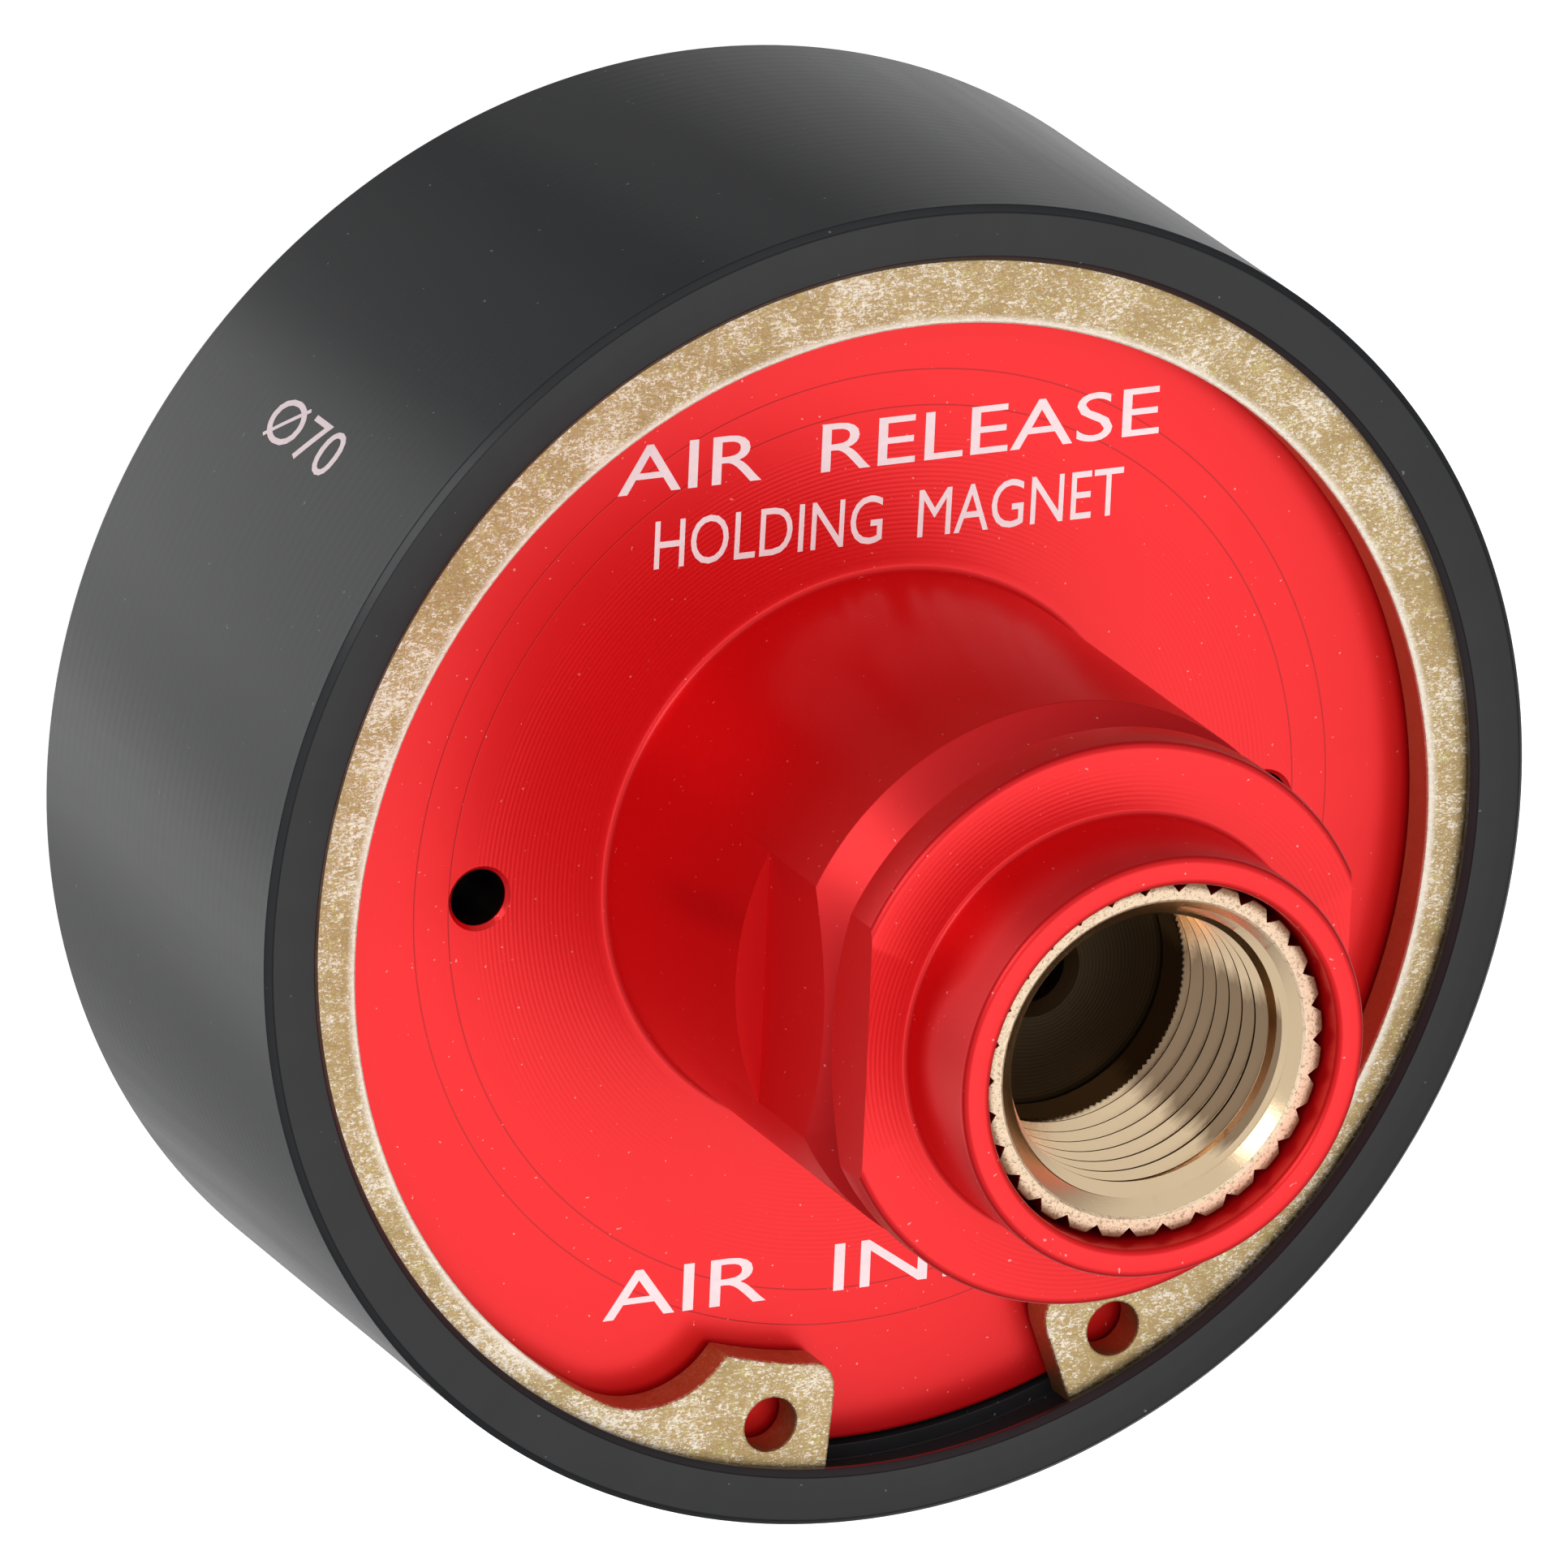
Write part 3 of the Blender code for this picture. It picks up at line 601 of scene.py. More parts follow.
class MAGNET_OT_cup(bpy.types.Operator):
    """Turn the black cup, with its chamfers, ring groove and cap ledge"""
    bl_idname = "magnet.cup"
    bl_label = "Cup"
    RIM_CHAMFER = 0.35
    FOOT_CHAMFER = 0.75
    LIP = 0.65
    PAD_BORE = 23.7

    def execute(self, context):
        cup = context.scene.magnet_cup
        outer, top, bore = cup.radius / MM, cup.height / MM, cup.bore / MM
        low_bore, groove, floor = cup.low_bore / MM, cup.groove / MM, cup.floor / MM
        groove_low = context.scene.magnet_cap.face / MM
        ledge = foot_of("end_cap") - AIR
        pad_in, pad_out, pad_top = self.PAD_BORE, radius_of("grip_pad") + AIR, top_of("grip_pad") + AIR
        chamfer, foot, lip = self.RIM_CHAMFER, self.FOOT_CHAMFER, top - self.LIP
        piece = lathe("cup", [
            (0, 0, 0), (pad_in, 0, 0.15), (pad_in, pad_top, 0.05), (pad_out, pad_top, 0.05),
            (pad_out, 0, 0.15), (outer - foot, 0, 0.25), (outer, foot, 0.25), (outer, top - chamfer, 0.15),
            (outer - chamfer, top, 0.15), (bore + chamfer, top, 0.1), (bore, top - chamfer, 0.1),
            (bore, lip, 0.03), (groove, lip, 0.04), (groove, groove_low, 0.04), (bore, groove_low, 0.03),
            (bore, ledge, 0.08), (low_bore, ledge, 0.15), (low_bore, floor, 0.6), (0, floor, 0)], closed=False)
        settle(piece, "housing", "housing", cup_finish(context.scene.magnet_look))
        return {"FINISHED"}


class MAGNET_OT_cap(bpy.types.Operator):
    """Turn the red cap with its dish, hub, V groove, flange and spigot, then mill the flats"""
    bl_idname = "magnet.cap"
    bl_label = "Cap and hub"
    SPRING_BORE = 9.0
    PORT_BORE = 9.5
    TUBE_HOLE = 3.5
    BUMPER_SLOT = (24.7, 28.3, 1.5)     # inner and outer radius, depth
    SEAL_SLOT = (29.65, 1.2)            # radius of the bottom, half of the width
    V_GROOVE = (12.7, 46.56, 2.03)      # radius of the bottom, height, half of the width
    DISH_STEPS = 10
    VENT_MOUTH = 0.22

    def execute(self, context):
        cap = context.scene.magnet_cap
        radius, face, hub, flange = cap.radius / MM, cap.face / MM, cap.hub / MM, cap.flange / MM
        dish, deep, spigot = cap.dish / MM, cap.dish_depth / MM, cap.spigot / MM
        top = top_of("end_cap")
        foot = foot_of("end_cap")
        seal = (foot_of("cap_o_ring") + top_of("cap_o_ring")) / 2
        web_low, web_top = top_of("spring_seat") + AIR, foot_of("tube_gasket") - AIR
        slot_in, slot_out, slot_deep = self.BUMPER_SLOT
        seal_in, seal_half = self.SEAL_SLOT
        v_in, v_at, v_half = self.V_GROOVE
        slot_top, seal_low, seal_high = foot + slot_deep, seal - seal_half, seal + seal_half
        inward = [i / self.DISH_STEPS for i in range(1, self.DISH_STEPS)]
        hollow = [(dish - (dish - hub) * share, face - deep * (1 - cos(pi * share)) / 2, 0) for share in inward]
        piece = lathe("cap", [
            (self.SPRING_BORE, foot, 0.3), (slot_in, foot, 0.2), (slot_in, slot_top, 0.1),
            (slot_out, slot_top, 0.1), (slot_out, foot, 0.2), (radius, foot, 0.5), (radius, seal_low, 0.1),
            (seal_in, seal_low, 0.2), (seal_in, seal_high, 0.2), (radius, seal_high, 0.1),
            (radius, face, 0.25), (dish, face, 0), *hollow, (hub, face - deep, 0.35),
            (hub, v_at - v_half, 0.1), (v_in, v_at, 0.12), (hub, v_at + v_half, 0.1), (hub, flange, 0.42),
            (spigot, flange, 0.3), (spigot, top, 0.42), (self.PORT_BORE, top, 0.38),
            (self.PORT_BORE, web_top, 0.1), (self.TUBE_HOLE, web_top, 0), (self.TUBE_HOLE, web_low, 0),
            (self.SPRING_BORE, web_low, 0.3)])
        flat, flat_foot = cap.flat / MM, cap.flat_foot / MM
        for side in (-1, 1):
            deselect()
            at = (side * (flat + 5) * MM, 0, (flat_foot + 10) * MM)
            bpy.ops.mesh.primitive_cube_add(size=1, location=at)
            mill = added("mill")
            mill.scale = (10 * MM, 40 * MM, 20 * MM)
            cut_away(piece, mill)
        vent, vent_at = cap.vent / MM, cap.vent_at / MM
        for side in (-1, 1):
            cut_away(piece, drill(vent, foot - 2, face + 1, x=side * vent_at, mouth=self.VENT_MOUTH))
        settle(piece, "housing", "end_cap", cap_finish(context.scene.magnet_look, cap))
        return {"FINISHED"}


class MAGNET_OT_marking(bpy.types.Operator):
    """Lay the plain lettering on the cap's face and the cup's side"""
    bl_idname = "magnet.marking"
    bl_label = "Marking"
    LINES = ((21.6, 30.0), (17.5, 26.0), (-22.5, 28.0))     # place on the cap and width of each line
    SIZE = 3.7
    SIDE_SIZE = 3.6
    SIDE_WIDTH = 7.6
    SIDE_HEIGHT = 14
    SIDE_ANGLE = radians(142.0)
    RAISED = 0.012
    SUNK = 0.06

    def execute(self, context):
        look = context.scene.magnet_look
        finish = mark_finish(look)
        cap, cup = bpy.data.objects["cap"], bpy.data.objects["cup"]
        texts = (look.first_line, look.second_line, look.third_line)
        for number, (words, (up, width)) in enumerate(zip(texts, self.LINES), start=1):
            flat = self.letters(f"marking_{number}", words, self.SIZE, width)
            flat.location = (0, up * MM, 30 * MM)
            self.lay(flat, cap, "Z", finish)
        side = self.letters("side_marking", look.side_line, self.SIDE_SIZE, self.SIDE_WIDTH)
        out, up = (radius_of("housing") + 1) * MM, self.SIDE_HEIGHT * MM
        side.matrix_world = Matrix(((0, 0, 1, out), (0, -1, 0, 0), (1, 0, 0, up), (0, 0, 0, 1)))
        self.lay(side, cup, "X", finish)
        side.rotation_euler = (0, 0, self.SIDE_ANGLE)
        activate(side)
        bpy.ops.object.transform_apply(location=True, rotation=True, scale=True)
        return {"FINISHED"}

    def letters(self, name, words, size, width):
        """A line of letters as a flat mesh round the origin, stretched to a width in millimetres."""
        deselect()
        bpy.ops.object.text_add(location=(0, 0, 0))
        text = bpy.context.object
        text.data.body = words
        text.data.align_x = "CENTER"
        text.data.align_y = "CENTER"
        text.data.size = size * MM
        text.data.resolution_u = 4
        bpy.ops.object.convert(target="MESH")
        piece = added(name)
        piece.scale = (width * MM / piece.dimensions.x, 1, 1)
        bpy.ops.object.transform_apply(location=False, rotation=False, scale=True)
        bpy.ops.object.mode_set(mode="EDIT")
        bpy.ops.mesh.select_all(action="SELECT")
        bpy.ops.mesh.quads_convert_to_tris()
        bpy.ops.mesh.subdivide(number_cuts=3)
        bpy.ops.object.mode_set(mode="OBJECT")
        return piece

    def lay(self, piece, target, axis, finish):
        """Drops flat letters onto a surface along an axis and gives them a thickness that sinks in."""
        activate(piece)
        bpy.ops.object.transform_apply(location=True, rotation=True, scale=True)
        along = {f"use_project_{axis.lower()}": True}
        apply_step(piece, "SHRINKWRAP", wrap_method="PROJECT", target=target, use_negative_direction=True,
                   use_positive_direction=False, **along)
        outwards = Vector((axis == "X", 0, axis == "Z")) * MM
        activate(piece)
        bpy.ops.object.mode_set(mode="EDIT")
        bpy.ops.mesh.select_all(action="SELECT")
        bpy.ops.transform.translate(value=outwards * self.RAISED)
        bpy.ops.mesh.extrude_region_move(TRANSFORM_OT_translate={"value": outwards * -self.SUNK})
        clean()
        piece.data.materials.clear()
        piece.data.materials.append(finish)
        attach(piece, "housing")


class MAGNET_OT_retaining_ring(bpy.types.Operator):
    """Stamp the retaining ring with its two drilled lugs"""
    bl_idname = "magnet.retaining_ring"
    bl_label = "Retaining ring"
    OUTER = 32.55
    LUG_EDGE = radians(12.3)
    CORNER_TURN = radians(2.3)
    LUG_SPAN = radians(11.4)
    TURN_IN = radians(39.15)
    HOLE_AT = 29.9
    HOLE_ANGLE = radians(18.85)

    def execute(self, context):
        ring = context.scene.magnet_ring
        low, high = foot_of("retaining_ring"), top_of("retaining_ring")
        inner, offset, lug, scallop = ring.inner / MM, ring.offset / MM, ring.lug / MM, ring.scallop / MM
        outer, edge, turn_in = self.OUTER, self.LUG_EDGE, self.TURN_IN

        def spot(radius, angle, centre=Vector((0, 0))):
            return centre + Vector((radius * cos(angle), radius * sin(angle)))

        middle = Vector((offset, 0))
        hollow = spot(inner - scallop, turn_in, middle)
        half = [spot(outer, edge), spot(29.0, edge)]
        for turn in (k * pi / 8 for k in range(5)):
            half.append(spot(28.15 - 1.55 * sin(turn), edge + self.CORNER_TURN * (1 - cos(turn))))
        lug_start = edge + self.CORNER_TURN
        half += [spot(lug, lug_start + self.LUG_SPAN * i / 8) for i in range(1, 9)]
        first = half[-1] - hollow
        start = atan2(first.y, first.x)
        half += [spot(scallop, start + (turn_in - start) * i / 20, hollow) for i in range(1, 21)]
        half += [spot(inner, turn_in + (pi - turn_in) * i / 70, middle) for i in range(1, 71)]
        other = [Vector((p.x, -p.y)) for p in reversed(half[:-1])]
        rim = [spot(outer, -edge - (2 * pi - 2 * edge) * i / 180) for i in range(1, 180)]
        piece = plate("retaining_ring", half + other + rim, low, high)
        for side in (-1, 1):
            at = spot(self.HOLE_AT, side * self.HOLE_ANGLE)
            cut_away(piece, drill(ring.hole / MM, low - 1, high + 1, at.x, at.y))
        soften(piece, 0.16, angle=50.0)
        piece.rotation_euler = (0, 0, ring.gap_angle)
        settle(piece, "housing", "retaining_ring",
               ring_finish(context.scene.magnet_look, ring))
        return {"FINISHED"}


class MAGNET_OT_port(bpy.types.Operator):
    """Turn the brass port, knurl its outside and cut its thread"""
    bl_idname = "magnet.port"
    bl_label = "Threaded port"
    TIP = 9.3
    MOUTH = 8.35
    THROAT = 7.45
    RUN_OUT = 0.7
    REACH = 0.08
    ROOT = 0.05
    NOTCH = 1.02
    NOTCH_OUT = 0.45

    def execute(self, context):
        port = context.scene.magnet_port
        low, high = foot_of("port_insert"), top_of("port_insert")
        crest, pitch, depth = port.crest / MM, port.pitch / MM, port.depth / MM
        piece = lathe("port", [
            (crest - 0.1, low, 0), (self.TIP, low, 0.3), (self.TIP, high, 0.15), (self.MOUTH, high, 0.1),
            (self.THROAT, high - 0.8, 0.1), (crest, high - 1.7, 0.1)])
        cut_away(piece, self.thread(crest, pitch, depth, low, high + self.RUN_OUT))
        cut_away(piece, self.notches(port.teeth, low, high))
        settle(piece, "housing", "port_insert", port_finish(context.scene.magnet_look))
        return {"FINISHED"}

    def thread(self, crest, pitch, depth, low, high):
        """A coiled wedge as long as the bore, for cutting the thread's groove."""
        inner, outer, root = crest - self.REACH, crest + depth, self.ROOT
        mouth = root + (pitch * 0.44 - root) / depth * (depth + self.REACH)
        turns = int((high - low) / pitch) + 2
        start = high - turns * pitch
        corners = ((inner, -mouth), (outer, -root), (outer, root), (inner, mouth))
        coil = trace("groove", [Vector((across, 0, start + up)) * MM for across, up in corners])
        bpy.ops.mesh.edge_face_add()
        bpy.ops.mesh.delete(type="ONLY_FACE")
        bpy.ops.object.mode_set(mode="OBJECT")
        wind(coil, pitch, turns, MEDIUM)
        close_ends(coil)
        return coil

    def notches(self, teeth, low, high):
        """V-shaped bars round the outside, for cutting the knurl between its teeth."""
        bars = []
        for angle in (2 * pi * i / teeth for i in range(teeth)):
            out = self.TIP + self.NOTCH_OUT
            deselect()
            bpy.ops.mesh.primitive_cylinder_add(
                vertices=4, radius=self.NOTCH * MM, depth=(high - low + 2) * MM, rotation=(0, 0, angle),
                location=(out * cos(angle) * MM, out * sin(angle) * MM, (low + high) / 2 * MM))
            bars.append(bpy.context.object)
        return joined(bars)


def o_ring(name, node, section):
    """A round rubber ring in the place of its node; section is the radius of its cross-section."""
    major = radius_of(node) - section
    middle = (foot_of(node) + top_of(node)) / 2
    turns = [2 * pi * i / 20 for i in range(20)]
    outline = [(major + section * cos(turn), middle + section * sin(turn), 0) for turn in turns]
    return lathe(name, outline, MEDIUM)


def washer(name, node, inner, rounding):
    """A flat ring in the place of its node, with rounded edges."""
    low, high, outer = foot_of(node), top_of(node), radius_of(node)
    return lathe(name, [(inner, low, rounding), (outer, low, rounding), (outer, high, rounding),
                        (inner, high, rounding)], MEDIUM)


def middle_of(node):
    """The middle of a node's box, in millimetres."""
    low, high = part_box(node)
    return (low + high) / 2 / MM


class MAGNET_OT_seals(bpy.types.Operator):
    """Mould the rubber pad, the rings, the gasket and the bumper"""
    bl_idname = "magnet.seals"
    bl_label = "Rubber pieces"
    PAD_INNER = 24.0
    RIB = 1.0
    RIB_DEPTH = 0.28
    GROOVE_TOP, GROOVE_FOOT = 0.15, 0.22    # half widths of the grooves between the ribs

    def execute(self, context):
        rubber = moulded("black_rubber", (0.018, 0.018, 0.019), 0.62)
        band = moulded("guide_band", (0.24, 0.13, 0.06), 0.55)
        settle(self.pad(), "housing", "grip_pad", rubber)
        settle(o_ring("cap_seal", "cap_o_ring", 0.9), "housing", "cap_o_ring", rubber)
        settle(washer("gasket", "tube_gasket", 3.5, 0.2), "housing", "tube_gasket", rubber)
        settle(washer("bumper", "bumper_ring", 25.0, 0.35), "housing", "bumper_ring", rubber)
        settle(o_ring("sliding_seal", "piston_seal", 0.9), "magnet_carriage", "piston_seal", rubber)
        settle(o_ring("rod_seal", "tube_seal", 0.7), "magnet_carriage", "tube_seal", rubber)
        guide = washer("guide", "wear_ring", 29.7, 0.25)
        deselect()
        at = Vector((30.3, 0, middle_of("wear_ring").z)) * MM
        bpy.ops.mesh.primitive_cube_add(size=1, location=at, rotation=(radians(30), 0, 0))
        saw = added("saw")
        saw.scale = (4 * MM, 0.7 * MM, 8 * MM)
        cut_away(guide, saw)
        settle(guide, "magnet_carriage", "wear_ring", band)
        return {"FINISHED"}

    def pad(self):
        """The pad's ring with concentric ribs on the side that meets the workpiece."""
        inner, outer, high, deep = self.PAD_INNER, radius_of("grip_pad"), top_of("grip_pad"), self.RIB_DEPTH
        corners = [(inner, high, 0.08), (inner, 0, 0.08)]
        for i in range(1, round((outer - inner) / self.RIB)):
            at = inner + i * self.RIB
            corners += [(at - self.GROOVE_FOOT, 0, 0.08), (at - self.GROOVE_TOP, deep, 0.06),
                        (at + self.GROOVE_TOP, deep, 0.06), (at + self.GROOVE_FOOT, 0, 0.08)]
        return lathe("pad", corners + [(outer, 0, 0.08), (outer, high, 0.08)])


class MAGNET_OT_tube_and_spring(bpy.types.Operator):
    """Turn the air tube and the seat, and wind the return spring"""
    bl_idname = "magnet.tube_and_spring"
    bl_label = "Tube and spring"
    WIRE = 0.65
    COIL = 7.0
    END_PITCH = 1.65
    TURNS = 7
    SHORTEST = 0.775

    def execute(self, context):
        steel = turned_metal("plain_steel", (0.46, 0.46, 0.48), 0.36)
        # Painted shade: the tube is painted dark brown to stand for the shade deep in the port.
        dark = turned_metal("painted_shade_steel", (0.045, 0.026, 0.010), 0.5, 0.8)
        foot, high, collar = foot_of("air_tube"), top_of("air_tube"), radius_of("air_tube")
        collar_foot = top_of("tube_gasket") + AIR
        tube = lathe("tube", [
            (1.8, foot, 0.25), (3.2, foot, 0.45), (3.2, collar_foot, 0.25), (collar, collar_foot, 0.15),
            (collar, high, 0.35), (2.4, high, 0.1), (1.8, high - 0.6, 0.1)], MEDIUM)
        settle(tube, "housing", "air_tube", dark)
        settle(washer("seat", "spring_seat", 3.8, 0.2), "housing", "spring_seat", steel)
        spring = settle(self.coil(), "housing", "return_spring", steel)
        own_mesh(spring)
        return {"FINISHED"}

    def coil(self):
        """A round wire wound with one close turn at each end and open turns between."""
        low = foot_of("return_spring") + self.WIRE
        high = top_of("return_spring") - self.WIRE
        open_turns = self.TURNS - 2
        pitch = (high - low - 2 * self.END_PITCH) / open_turns
        stretches = ((low, self.END_PITCH, 1), (low + self.END_PITCH, pitch, open_turns),
                     (high - self.END_PITCH, self.END_PITCH, 1))
        circle = [(self.COIL + self.WIRE * cos(pi * i / 8), self.WIRE * sin(pi * i / 8)) for i in range(17)]
        parts = []
        for start, rise, turns in stretches:
            part = trace("wire", [Vector((across, 0, start + up)) * MM for across, up in circle])
            bpy.ops.mesh.remove_doubles(threshold=MERGE)
            bpy.ops.object.mode_set(mode="OBJECT")
            wind(part, rise, turns, 64)
            parts.append(part)
        joined(parts)
        piece = added("spring")
        close_ends(piece, MERGE * 5)
        return piece


class MAGNET_OT_carriage(bpy.types.Operator):
    """Machine the piston, the steel plate and the cage, and set in magnets and screws"""
    bl_idname = "magnet.carriage"
    bl_label = "Magnet carriage"
    BOSS = 6.5
    SKIRT = 27.6
    SCREW = 1.35
    HEAD = 2.6

    def execute(self, context):
        light = turned_metal("plain_aluminium", (0.74, 0.75, 0.77), 0.34)
        steel = turned_metal("plate_steel", (0.46, 0.46, 0.48), 0.36)
        nickel = turned_metal("nickel_plate", (0.72, 0.71, 0.68), 0.16, pitch=0.5)
        acetal = moulded("black_acetal", (0.03, 0.03, 0.032), 0.42)
        piston = self.piston()
        plate = washer("keeper_plate", "back_plate", self.BOSS + AIR, 0.2)
        cage = washer("cage", "magnet_cage", self.BOSS + AIR, 0.2)
        magnet_nodes = [f"magnet_{i}" for i in range(1, 9)]
        screw_nodes = [f"carrier_screw_{i}" for i in range(1, 5)]
        pocket = self.reach_of("magnet_1") + AIR
        for node in magnet_nodes:
            at = middle_of(node)
            cut_away(cage, drill(pocket, foot_of(node) - 1, top_of(node) + 1, at.x, at.y))
        for node in screw_nodes:
            at = middle_of(node)
            for piece in (piston, plate, cage):
                cut_away(piece, self.screw_hole(node, at))
        settle(piston, "magnet_carriage", "piston", light)
        settle(plate, "magnet_carriage", "back_plate", steel)
        settle(cage, "magnet_carriage", "magnet_cage", acetal)
        for node in magnet_nodes:
            settle(self.magnet(node), "magnet_carriage", node, nickel)
        for node in screw_nodes:
            settle(self.screw(node), "magnet_carriage", node, steel)
        return {"FINISHED"}

    def piston(self):
        foot, high, outer = foot_of("piston"), top_of("piston"), radius_of("piston")
        plate_top, pocket_floor = top_of("back_plate") + AIR, foot_of("return_spring") - AIR
        band_low, band_high = foot_of("wear_ring") - AIR, top_of("wear_ring") + AIR
        seal_low, seal_high = foot_of("piston_seal") - AIR, top_of("piston_seal") + AIR
        rod_low, rod_high = foot_of("tube_seal") - AIR, top_of("tube_seal") + AIR
        return lathe("piston_body", [
            (3.5, 4.6, 0.2), (self.BOSS, 4.6, 0.3), (self.BOSS, plate_top, 0.2), (self.SKIRT, plate_top, 0.3),
            (self.SKIRT, foot, 0.2), (outer, foot, 0.4), (outer, band_low, 0.08), (29.4, band_low, 0.1),
            (29.4, band_high, 0.1), (outer, band_high, 0.08), (outer, seal_low, 0.12), (28.8, seal_low, 0.2),
            (28.8, seal_high, 0.2), (outer, seal_high, 0.12), (outer, high, 0.4), (24.5, high, 0.1),
            (24.0, high - 0.4, 0.1), (11.0, high - 0.4, 0.1), (10.5, high, 0.1),
            (9.2, high, 0.15), (9.2, pocket_floor, 0.1), (5.2, pocket_floor, 0.1), (5.2, high, 0.15),
            (3.5, high, 0.15), (3.5, rod_high, 0.05), (5.2, rod_high, 0.15), (5.2, rod_low, 0.15),
            (3.5, rod_low, 0.05)])

    def screw_hole(self, node, at):
        """A tool for one screw's hole with its countersink below."""
        foot, high, head, stem = foot_of(node), top_of(node) + AIR, self.HEAD + AIR, self.SCREW + AIR
        tool = lathe("tap", [(0, foot - 1, 0), (head, foot - 1, 0), (head, foot, 0), (stem, foot + 1.5, 0),
                             (stem, high, 0), (0, high, 0)], SMALL, closed=False)
        tool.location = (at.x * MM, at.y * MM, 0)
        return tool

    def reach_of(self, node):
        """The radius of a round node that stands off the axis."""
        return middle_of(node).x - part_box(node)[0].x / MM

    def magnet(self, node):
        at, foot, high, radius = middle_of(node), foot_of(node), top_of(node), self.reach_of(node)
        outline = [(0, foot, 0), (radius, foot, 0.35), (radius, high, 0.35), (0, high, 0)]
        disc = lathe(f"round_{node}", outline, SMALL, closed=False)
        disc.location = (at.x * MM, at.y * MM, 0)
        return disc

    def screw(self, node):
        """A countersunk screw with a hexagon socket and turned threads."""
        at = middle_of(node)
        foot, high, radius = foot_of(node), top_of(node), self.SCREW
        corners = [(0, foot, 0), (self.HEAD, foot, 0.08), (radius, foot + 1.5, 0.1)]
        thread_foot, pitch, root = foot + 3.0, 0.5, radius - 0.2
        for i in range(int((high - thread_foot) / pitch)):
            corners += [(radius, thread_foot + i * pitch, 0), (root, thread_foot + (i + 0.5) * pitch, 0)]
        corners += [(root, high, 0.1), (0, high, 0)]
        piece = lathe(f"socket_{node}", corners, SMALL, closed=False)
        deselect()
        bpy.ops.mesh.primitive_cylinder_add(vertices=6, radius=1.0 * MM, depth=1.8 * MM,
                                            location=(0, 0, foot * MM))
        cut_away(piece, added("key"))
        piece.location = (at.x * MM, at.y * MM, 0)
        return piece


class MAGNET_OT_stage(bpy.types.Operator):
    """Set up the pale floor, the soft lights and the camera"""
    bl_idname = "magnet.stage"
    bl_label = "Stage"
    MIDDLE = Vector((-4.9, 3.9, 23.8)) * MM
    LAMPS = (("key_light", (0.15, -0.14, 0.88), 0.50, 0.46, 0.52, 1.15),
             ("side_light", (-0.75, 0.55, 0.55), 0.62, 0.26, 0.40, 0.9))
    AZIMUTH, ELEVATION, ROLL = radians(230.9), radians(57.5), radians(126.9)
    DISTANCE = 1.2201
    LENS = 559.0
    SKY = 1.75
    # Sine of the elevation where each layer starts and is full, and its level.
    LAYERS = ((-0.55, -0.35, 0.05), (0.05, 0.40, 0.40))
    # Azimuth in degrees and level; the first two are the ends of the ramp.
    FIELDS = ((-180.0, 0.92), (180.0, 0.92), (-165.0, 0.62), (-149.0, 1.0), (-137.0, 0.85), (-121.0, 0.36),
              (-100.0, 0.28), (-55.0, 0.38), (0.0, 0.34), (40.0, 0.26), (57.0, 0.10), (69.0, 0.24),
              (85.0, 0.10), (99.0, 0.24), (125.0, 0.28), (139.0, 0.85), (160.0, 0.9))

    def execute(self, context):
        self.floor()
        self.sky(context.scene)
        for lamp in self.LAMPS:
            self.lamp(*lamp)
        self.camera(context.scene)
        return {"FINISHED"}

    def floor(self):
        deselect()
        bpy.ops.mesh.primitive_circle_add(vertices=64, radius=4.0, fill_type="NGON",
                                          location=(0, 0, -0.2 * MM))
        floor = added("floor")
        bpy.ops.object.transform_apply(location=True, rotation=True, scale=True)
        pale = Recipe("pale_floor", (0.86, 0.86, 0.86), 0.9, 0.0,
                      {"Specular IOR Level": 0.0, "Emission Color": (1.0, 1.0, 1.0, 1.0),
                       "Emission Strength": 0.75})
        floor.data.materials.append(pale.material)
        floor.visible_glossy = False
        floor.visible_diffuse = False
        floor.visible_shadow = False

    def sky(self, scene):
        """Fields round the horizon that streak the upright sides, under an even top and over a dark foot."""
        world = bpy.data.worlds.new("studio")
        scene.world = world
        scene.view_settings.view_transform = "Standard"
        world.use_nodes = True
        tree = world.node_tree
        coordinates = tree.nodes.new("ShaderNodeTexCoord")
        split = tree.nodes.new("ShaderNodeSeparateXYZ")
        tree.links.new(coordinates.outputs["Generated"], split.inputs[0])
        turn = tree.nodes.new("ShaderNodeMath")
        turn.operation = "ARCTAN2"
        tree.links.new(split.outputs["Y"], turn.inputs[0])
        tree.links.new(split.outputs["X"], turn.inputs[1])
        share = tree.nodes.new("ShaderNodeMath")
        share.operation = "MULTIPLY_ADD"
        share.inputs[1].default_value = 0.5 / pi
        share.inputs[2].default_value = 0.5
        tree.links.new(turn.outputs[0], share.inputs[0])
        fields = tree.nodes.new("ShaderNodeValToRGB")
        ramp = fields.color_ramp
        for number, (degrees, level) in enumerate(self.FIELDS):
            place = (degrees + 180.0) / 360.0
            element = ramp.elements[number] if number < 2 else ramp.elements.new(place)
            element.position = place
            element.color = (level, level, level, 1.0)
        tree.links.new(share.outputs[0], fields.inputs["Fac"])
        light = fields.outputs["Color"]
        for low, high, level in self.LAYERS:
            rise = tree.nodes.new("ShaderNodeMapRange")
            rise.inputs["From Min"].default_value = low
            rise.inputs["From Max"].default_value = high
            tree.links.new(split.outputs["Z"], rise.inputs["Value"])
            blend = tree.nodes.new("ShaderNodeMix")
            blend.data_type = "RGBA"
            blend.inputs[7].default_value = (level, level, level, 1.0)
            tree.links.new(rise.outputs["Result"], blend.inputs[0])
            tree.links.new(light, blend.inputs[6])
            light = blend.outputs[2]
        tree.links.new(light, tree.nodes["Background"].inputs["Color"])
        tree.nodes["Background"].inputs["Strength"].default_value = self.SKY

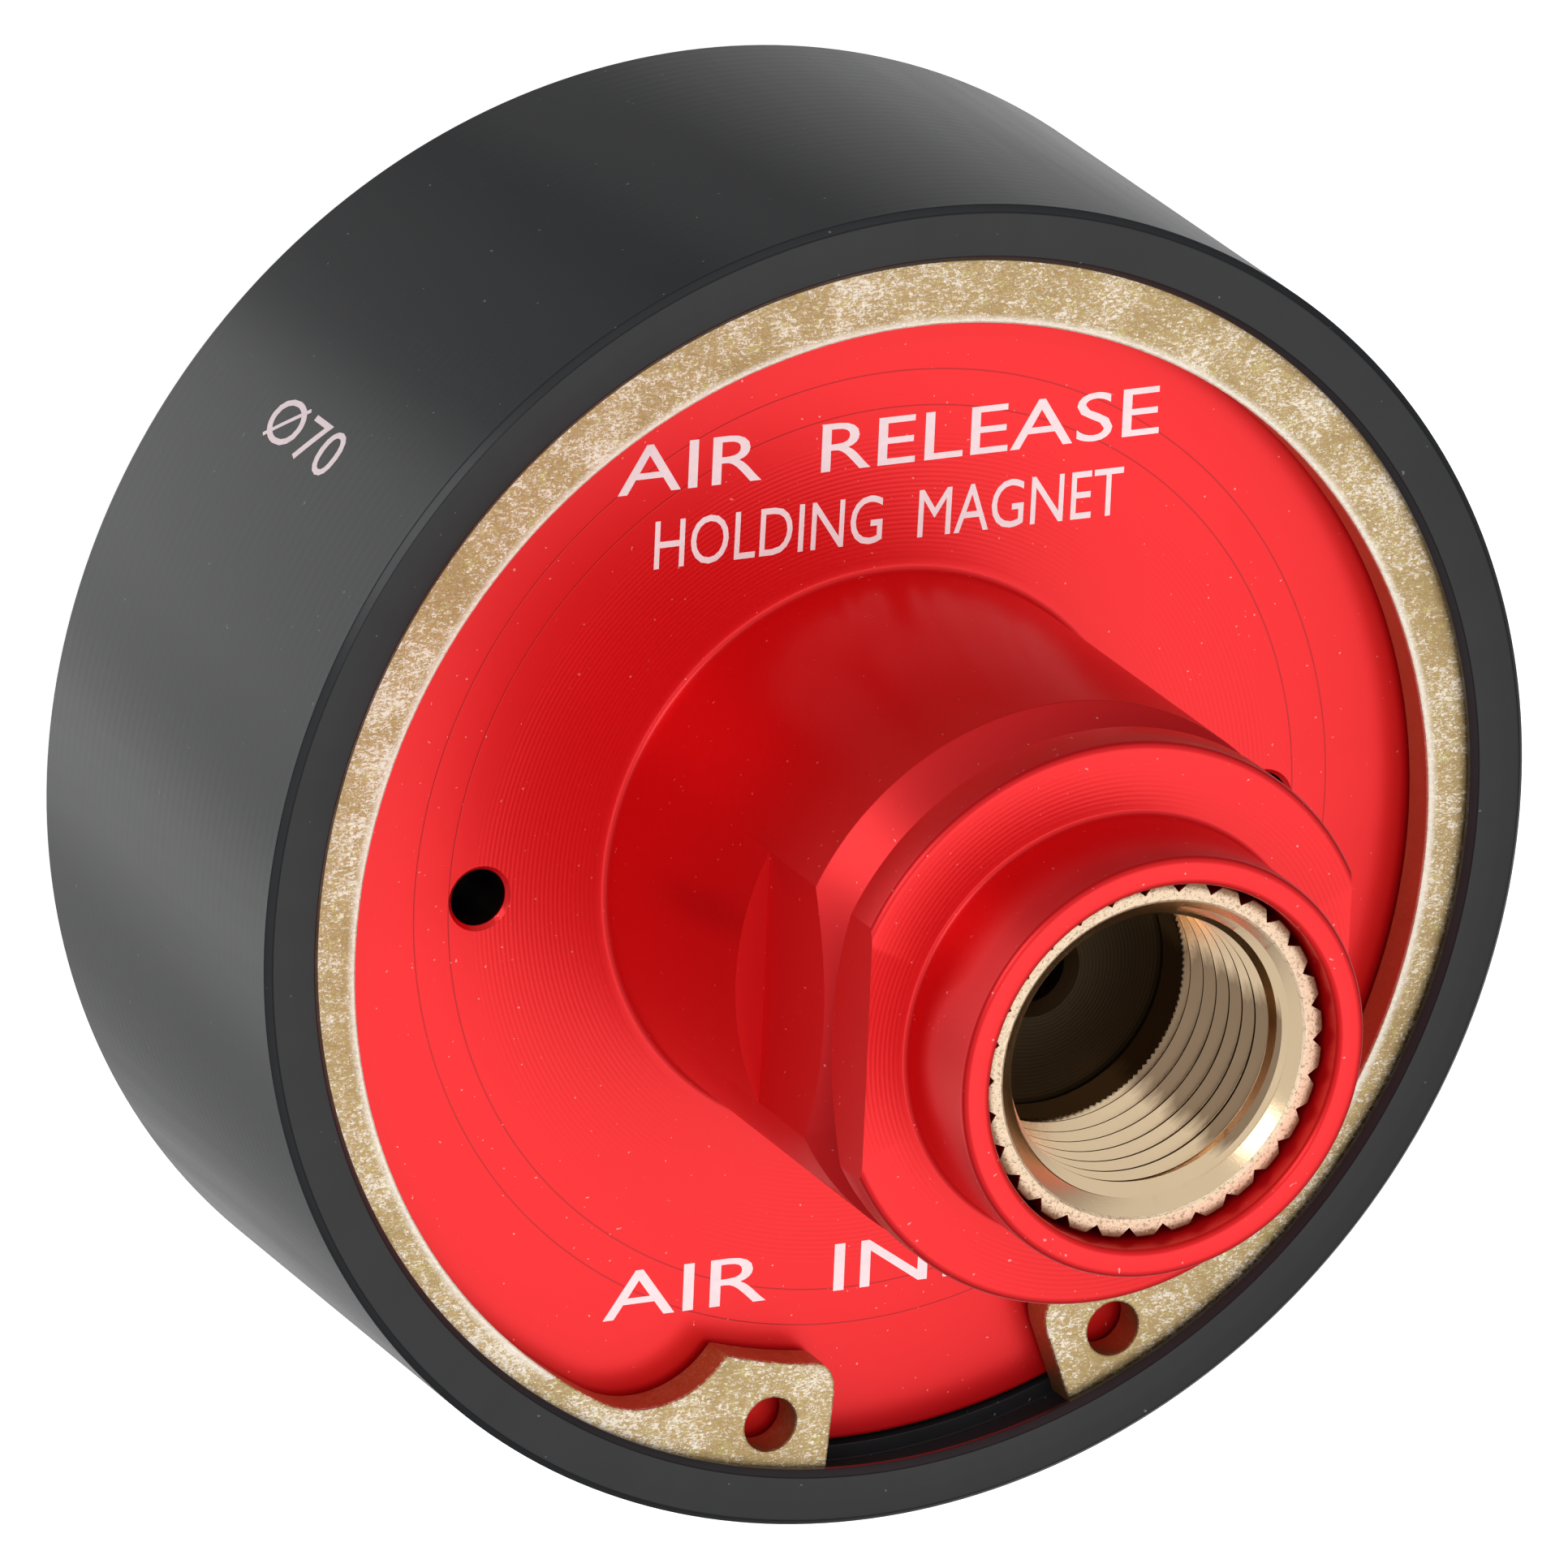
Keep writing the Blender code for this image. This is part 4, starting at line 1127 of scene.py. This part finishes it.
    def lamp(self, name, direction, distance, width, height, power):
        """A soft panel that looks at the middle of the object from a direction."""
        deselect()
        away = Vector(direction).normalized()
        bpy.ops.object.light_add(type="AREA", location=self.MIDDLE + away * distance)
        lamp = added(name)
        lamp.rotation_euler = away.to_track_quat("Z", "Y").to_euler()
        lamp.data.shape = "RECTANGLE"
        lamp.data.size = width
        lamp.data.size_y = height
        lamp.data.energy = power

    def camera(self, scene):
        azimuth, elevation, roll = self.AZIMUTH, self.ELEVATION, self.ROLL
        back = Vector((sin(azimuth) * cos(elevation), -cos(azimuth) * cos(elevation), sin(elevation)))
        level = Vector((cos(azimuth), sin(azimuth), 0.0))
        right = level * cos(roll) + back.cross(level) * sin(roll)
        up = back.cross(right)
        deselect()
        bpy.ops.object.camera_add()
        camera = added("photo_camera")
        camera.data.lens = self.LENS
        camera.data.sensor_width = 36.0
        camera.data.clip_start = 0.05
        camera.data.clip_end = 20.0
        turned = Matrix((right, up, back)).transposed().to_4x4()
        camera.matrix_world = Matrix.Translation(self.MIDDLE + back * self.DISTANCE) @ turned
        scene.camera = camera


class MAGNET_PT_panel(bpy.types.Panel):
    """Lists the steps that build the magnet"""
    bl_idname = "MAGNET_PT_panel"
    bl_label = "Holding magnet"
    bl_space_type = "VIEW_3D"
    bl_region_type = "UI"
    bl_category = "Magnet"

    def draw(self, context):
        for group in PROPERTIES:
            box = self.layout.box()
            owner = getattr(context.scene, group)
            for name in owner.__annotations__:
                box.prop(owner, name)
        for step in STEPS:
            self.layout.operator(step.bl_idname)


PROPERTIES = {"magnet_cup": MagnetCup, "magnet_cap": MagnetCap, "magnet_ring": MagnetRing,
              "magnet_port": MagnetPort, "magnet_look": MagnetLook}
STEPS = (MAGNET_OT_stage, MAGNET_OT_cup, MAGNET_OT_cap, MAGNET_OT_marking, MAGNET_OT_retaining_ring,
         MAGNET_OT_port, MAGNET_OT_seals, MAGNET_OT_tube_and_spring, MAGNET_OT_carriage)


def register():
    for name, group in PROPERTIES.items():
        bpy.utils.register_class(group)
        setattr(bpy.types.Scene, name, PointerProperty(type=group))
    for step in STEPS:
        bpy.utils.register_class(step)
    bpy.utils.register_class(MAGNET_PT_panel)


def unregister():
    bpy.utils.unregister_class(MAGNET_PT_panel)
    for step in reversed(STEPS):
        bpy.utils.unregister_class(step)
    for name, group in PROPERTIES.items():
        delattr(bpy.types.Scene, name)
        bpy.utils.unregister_class(group)


def main():
    register()
    bpy.ops.magnet.stage()
    bpy.ops.magnet.cup()
    bpy.ops.magnet.cap()
    bpy.ops.magnet.marking()
    bpy.ops.magnet.retaining_ring()
    bpy.ops.magnet.port()
    bpy.ops.magnet.seals()
    bpy.ops.magnet.tube_and_spring()
    bpy.ops.magnet.carriage()


if __name__ == "__main__":
    main()
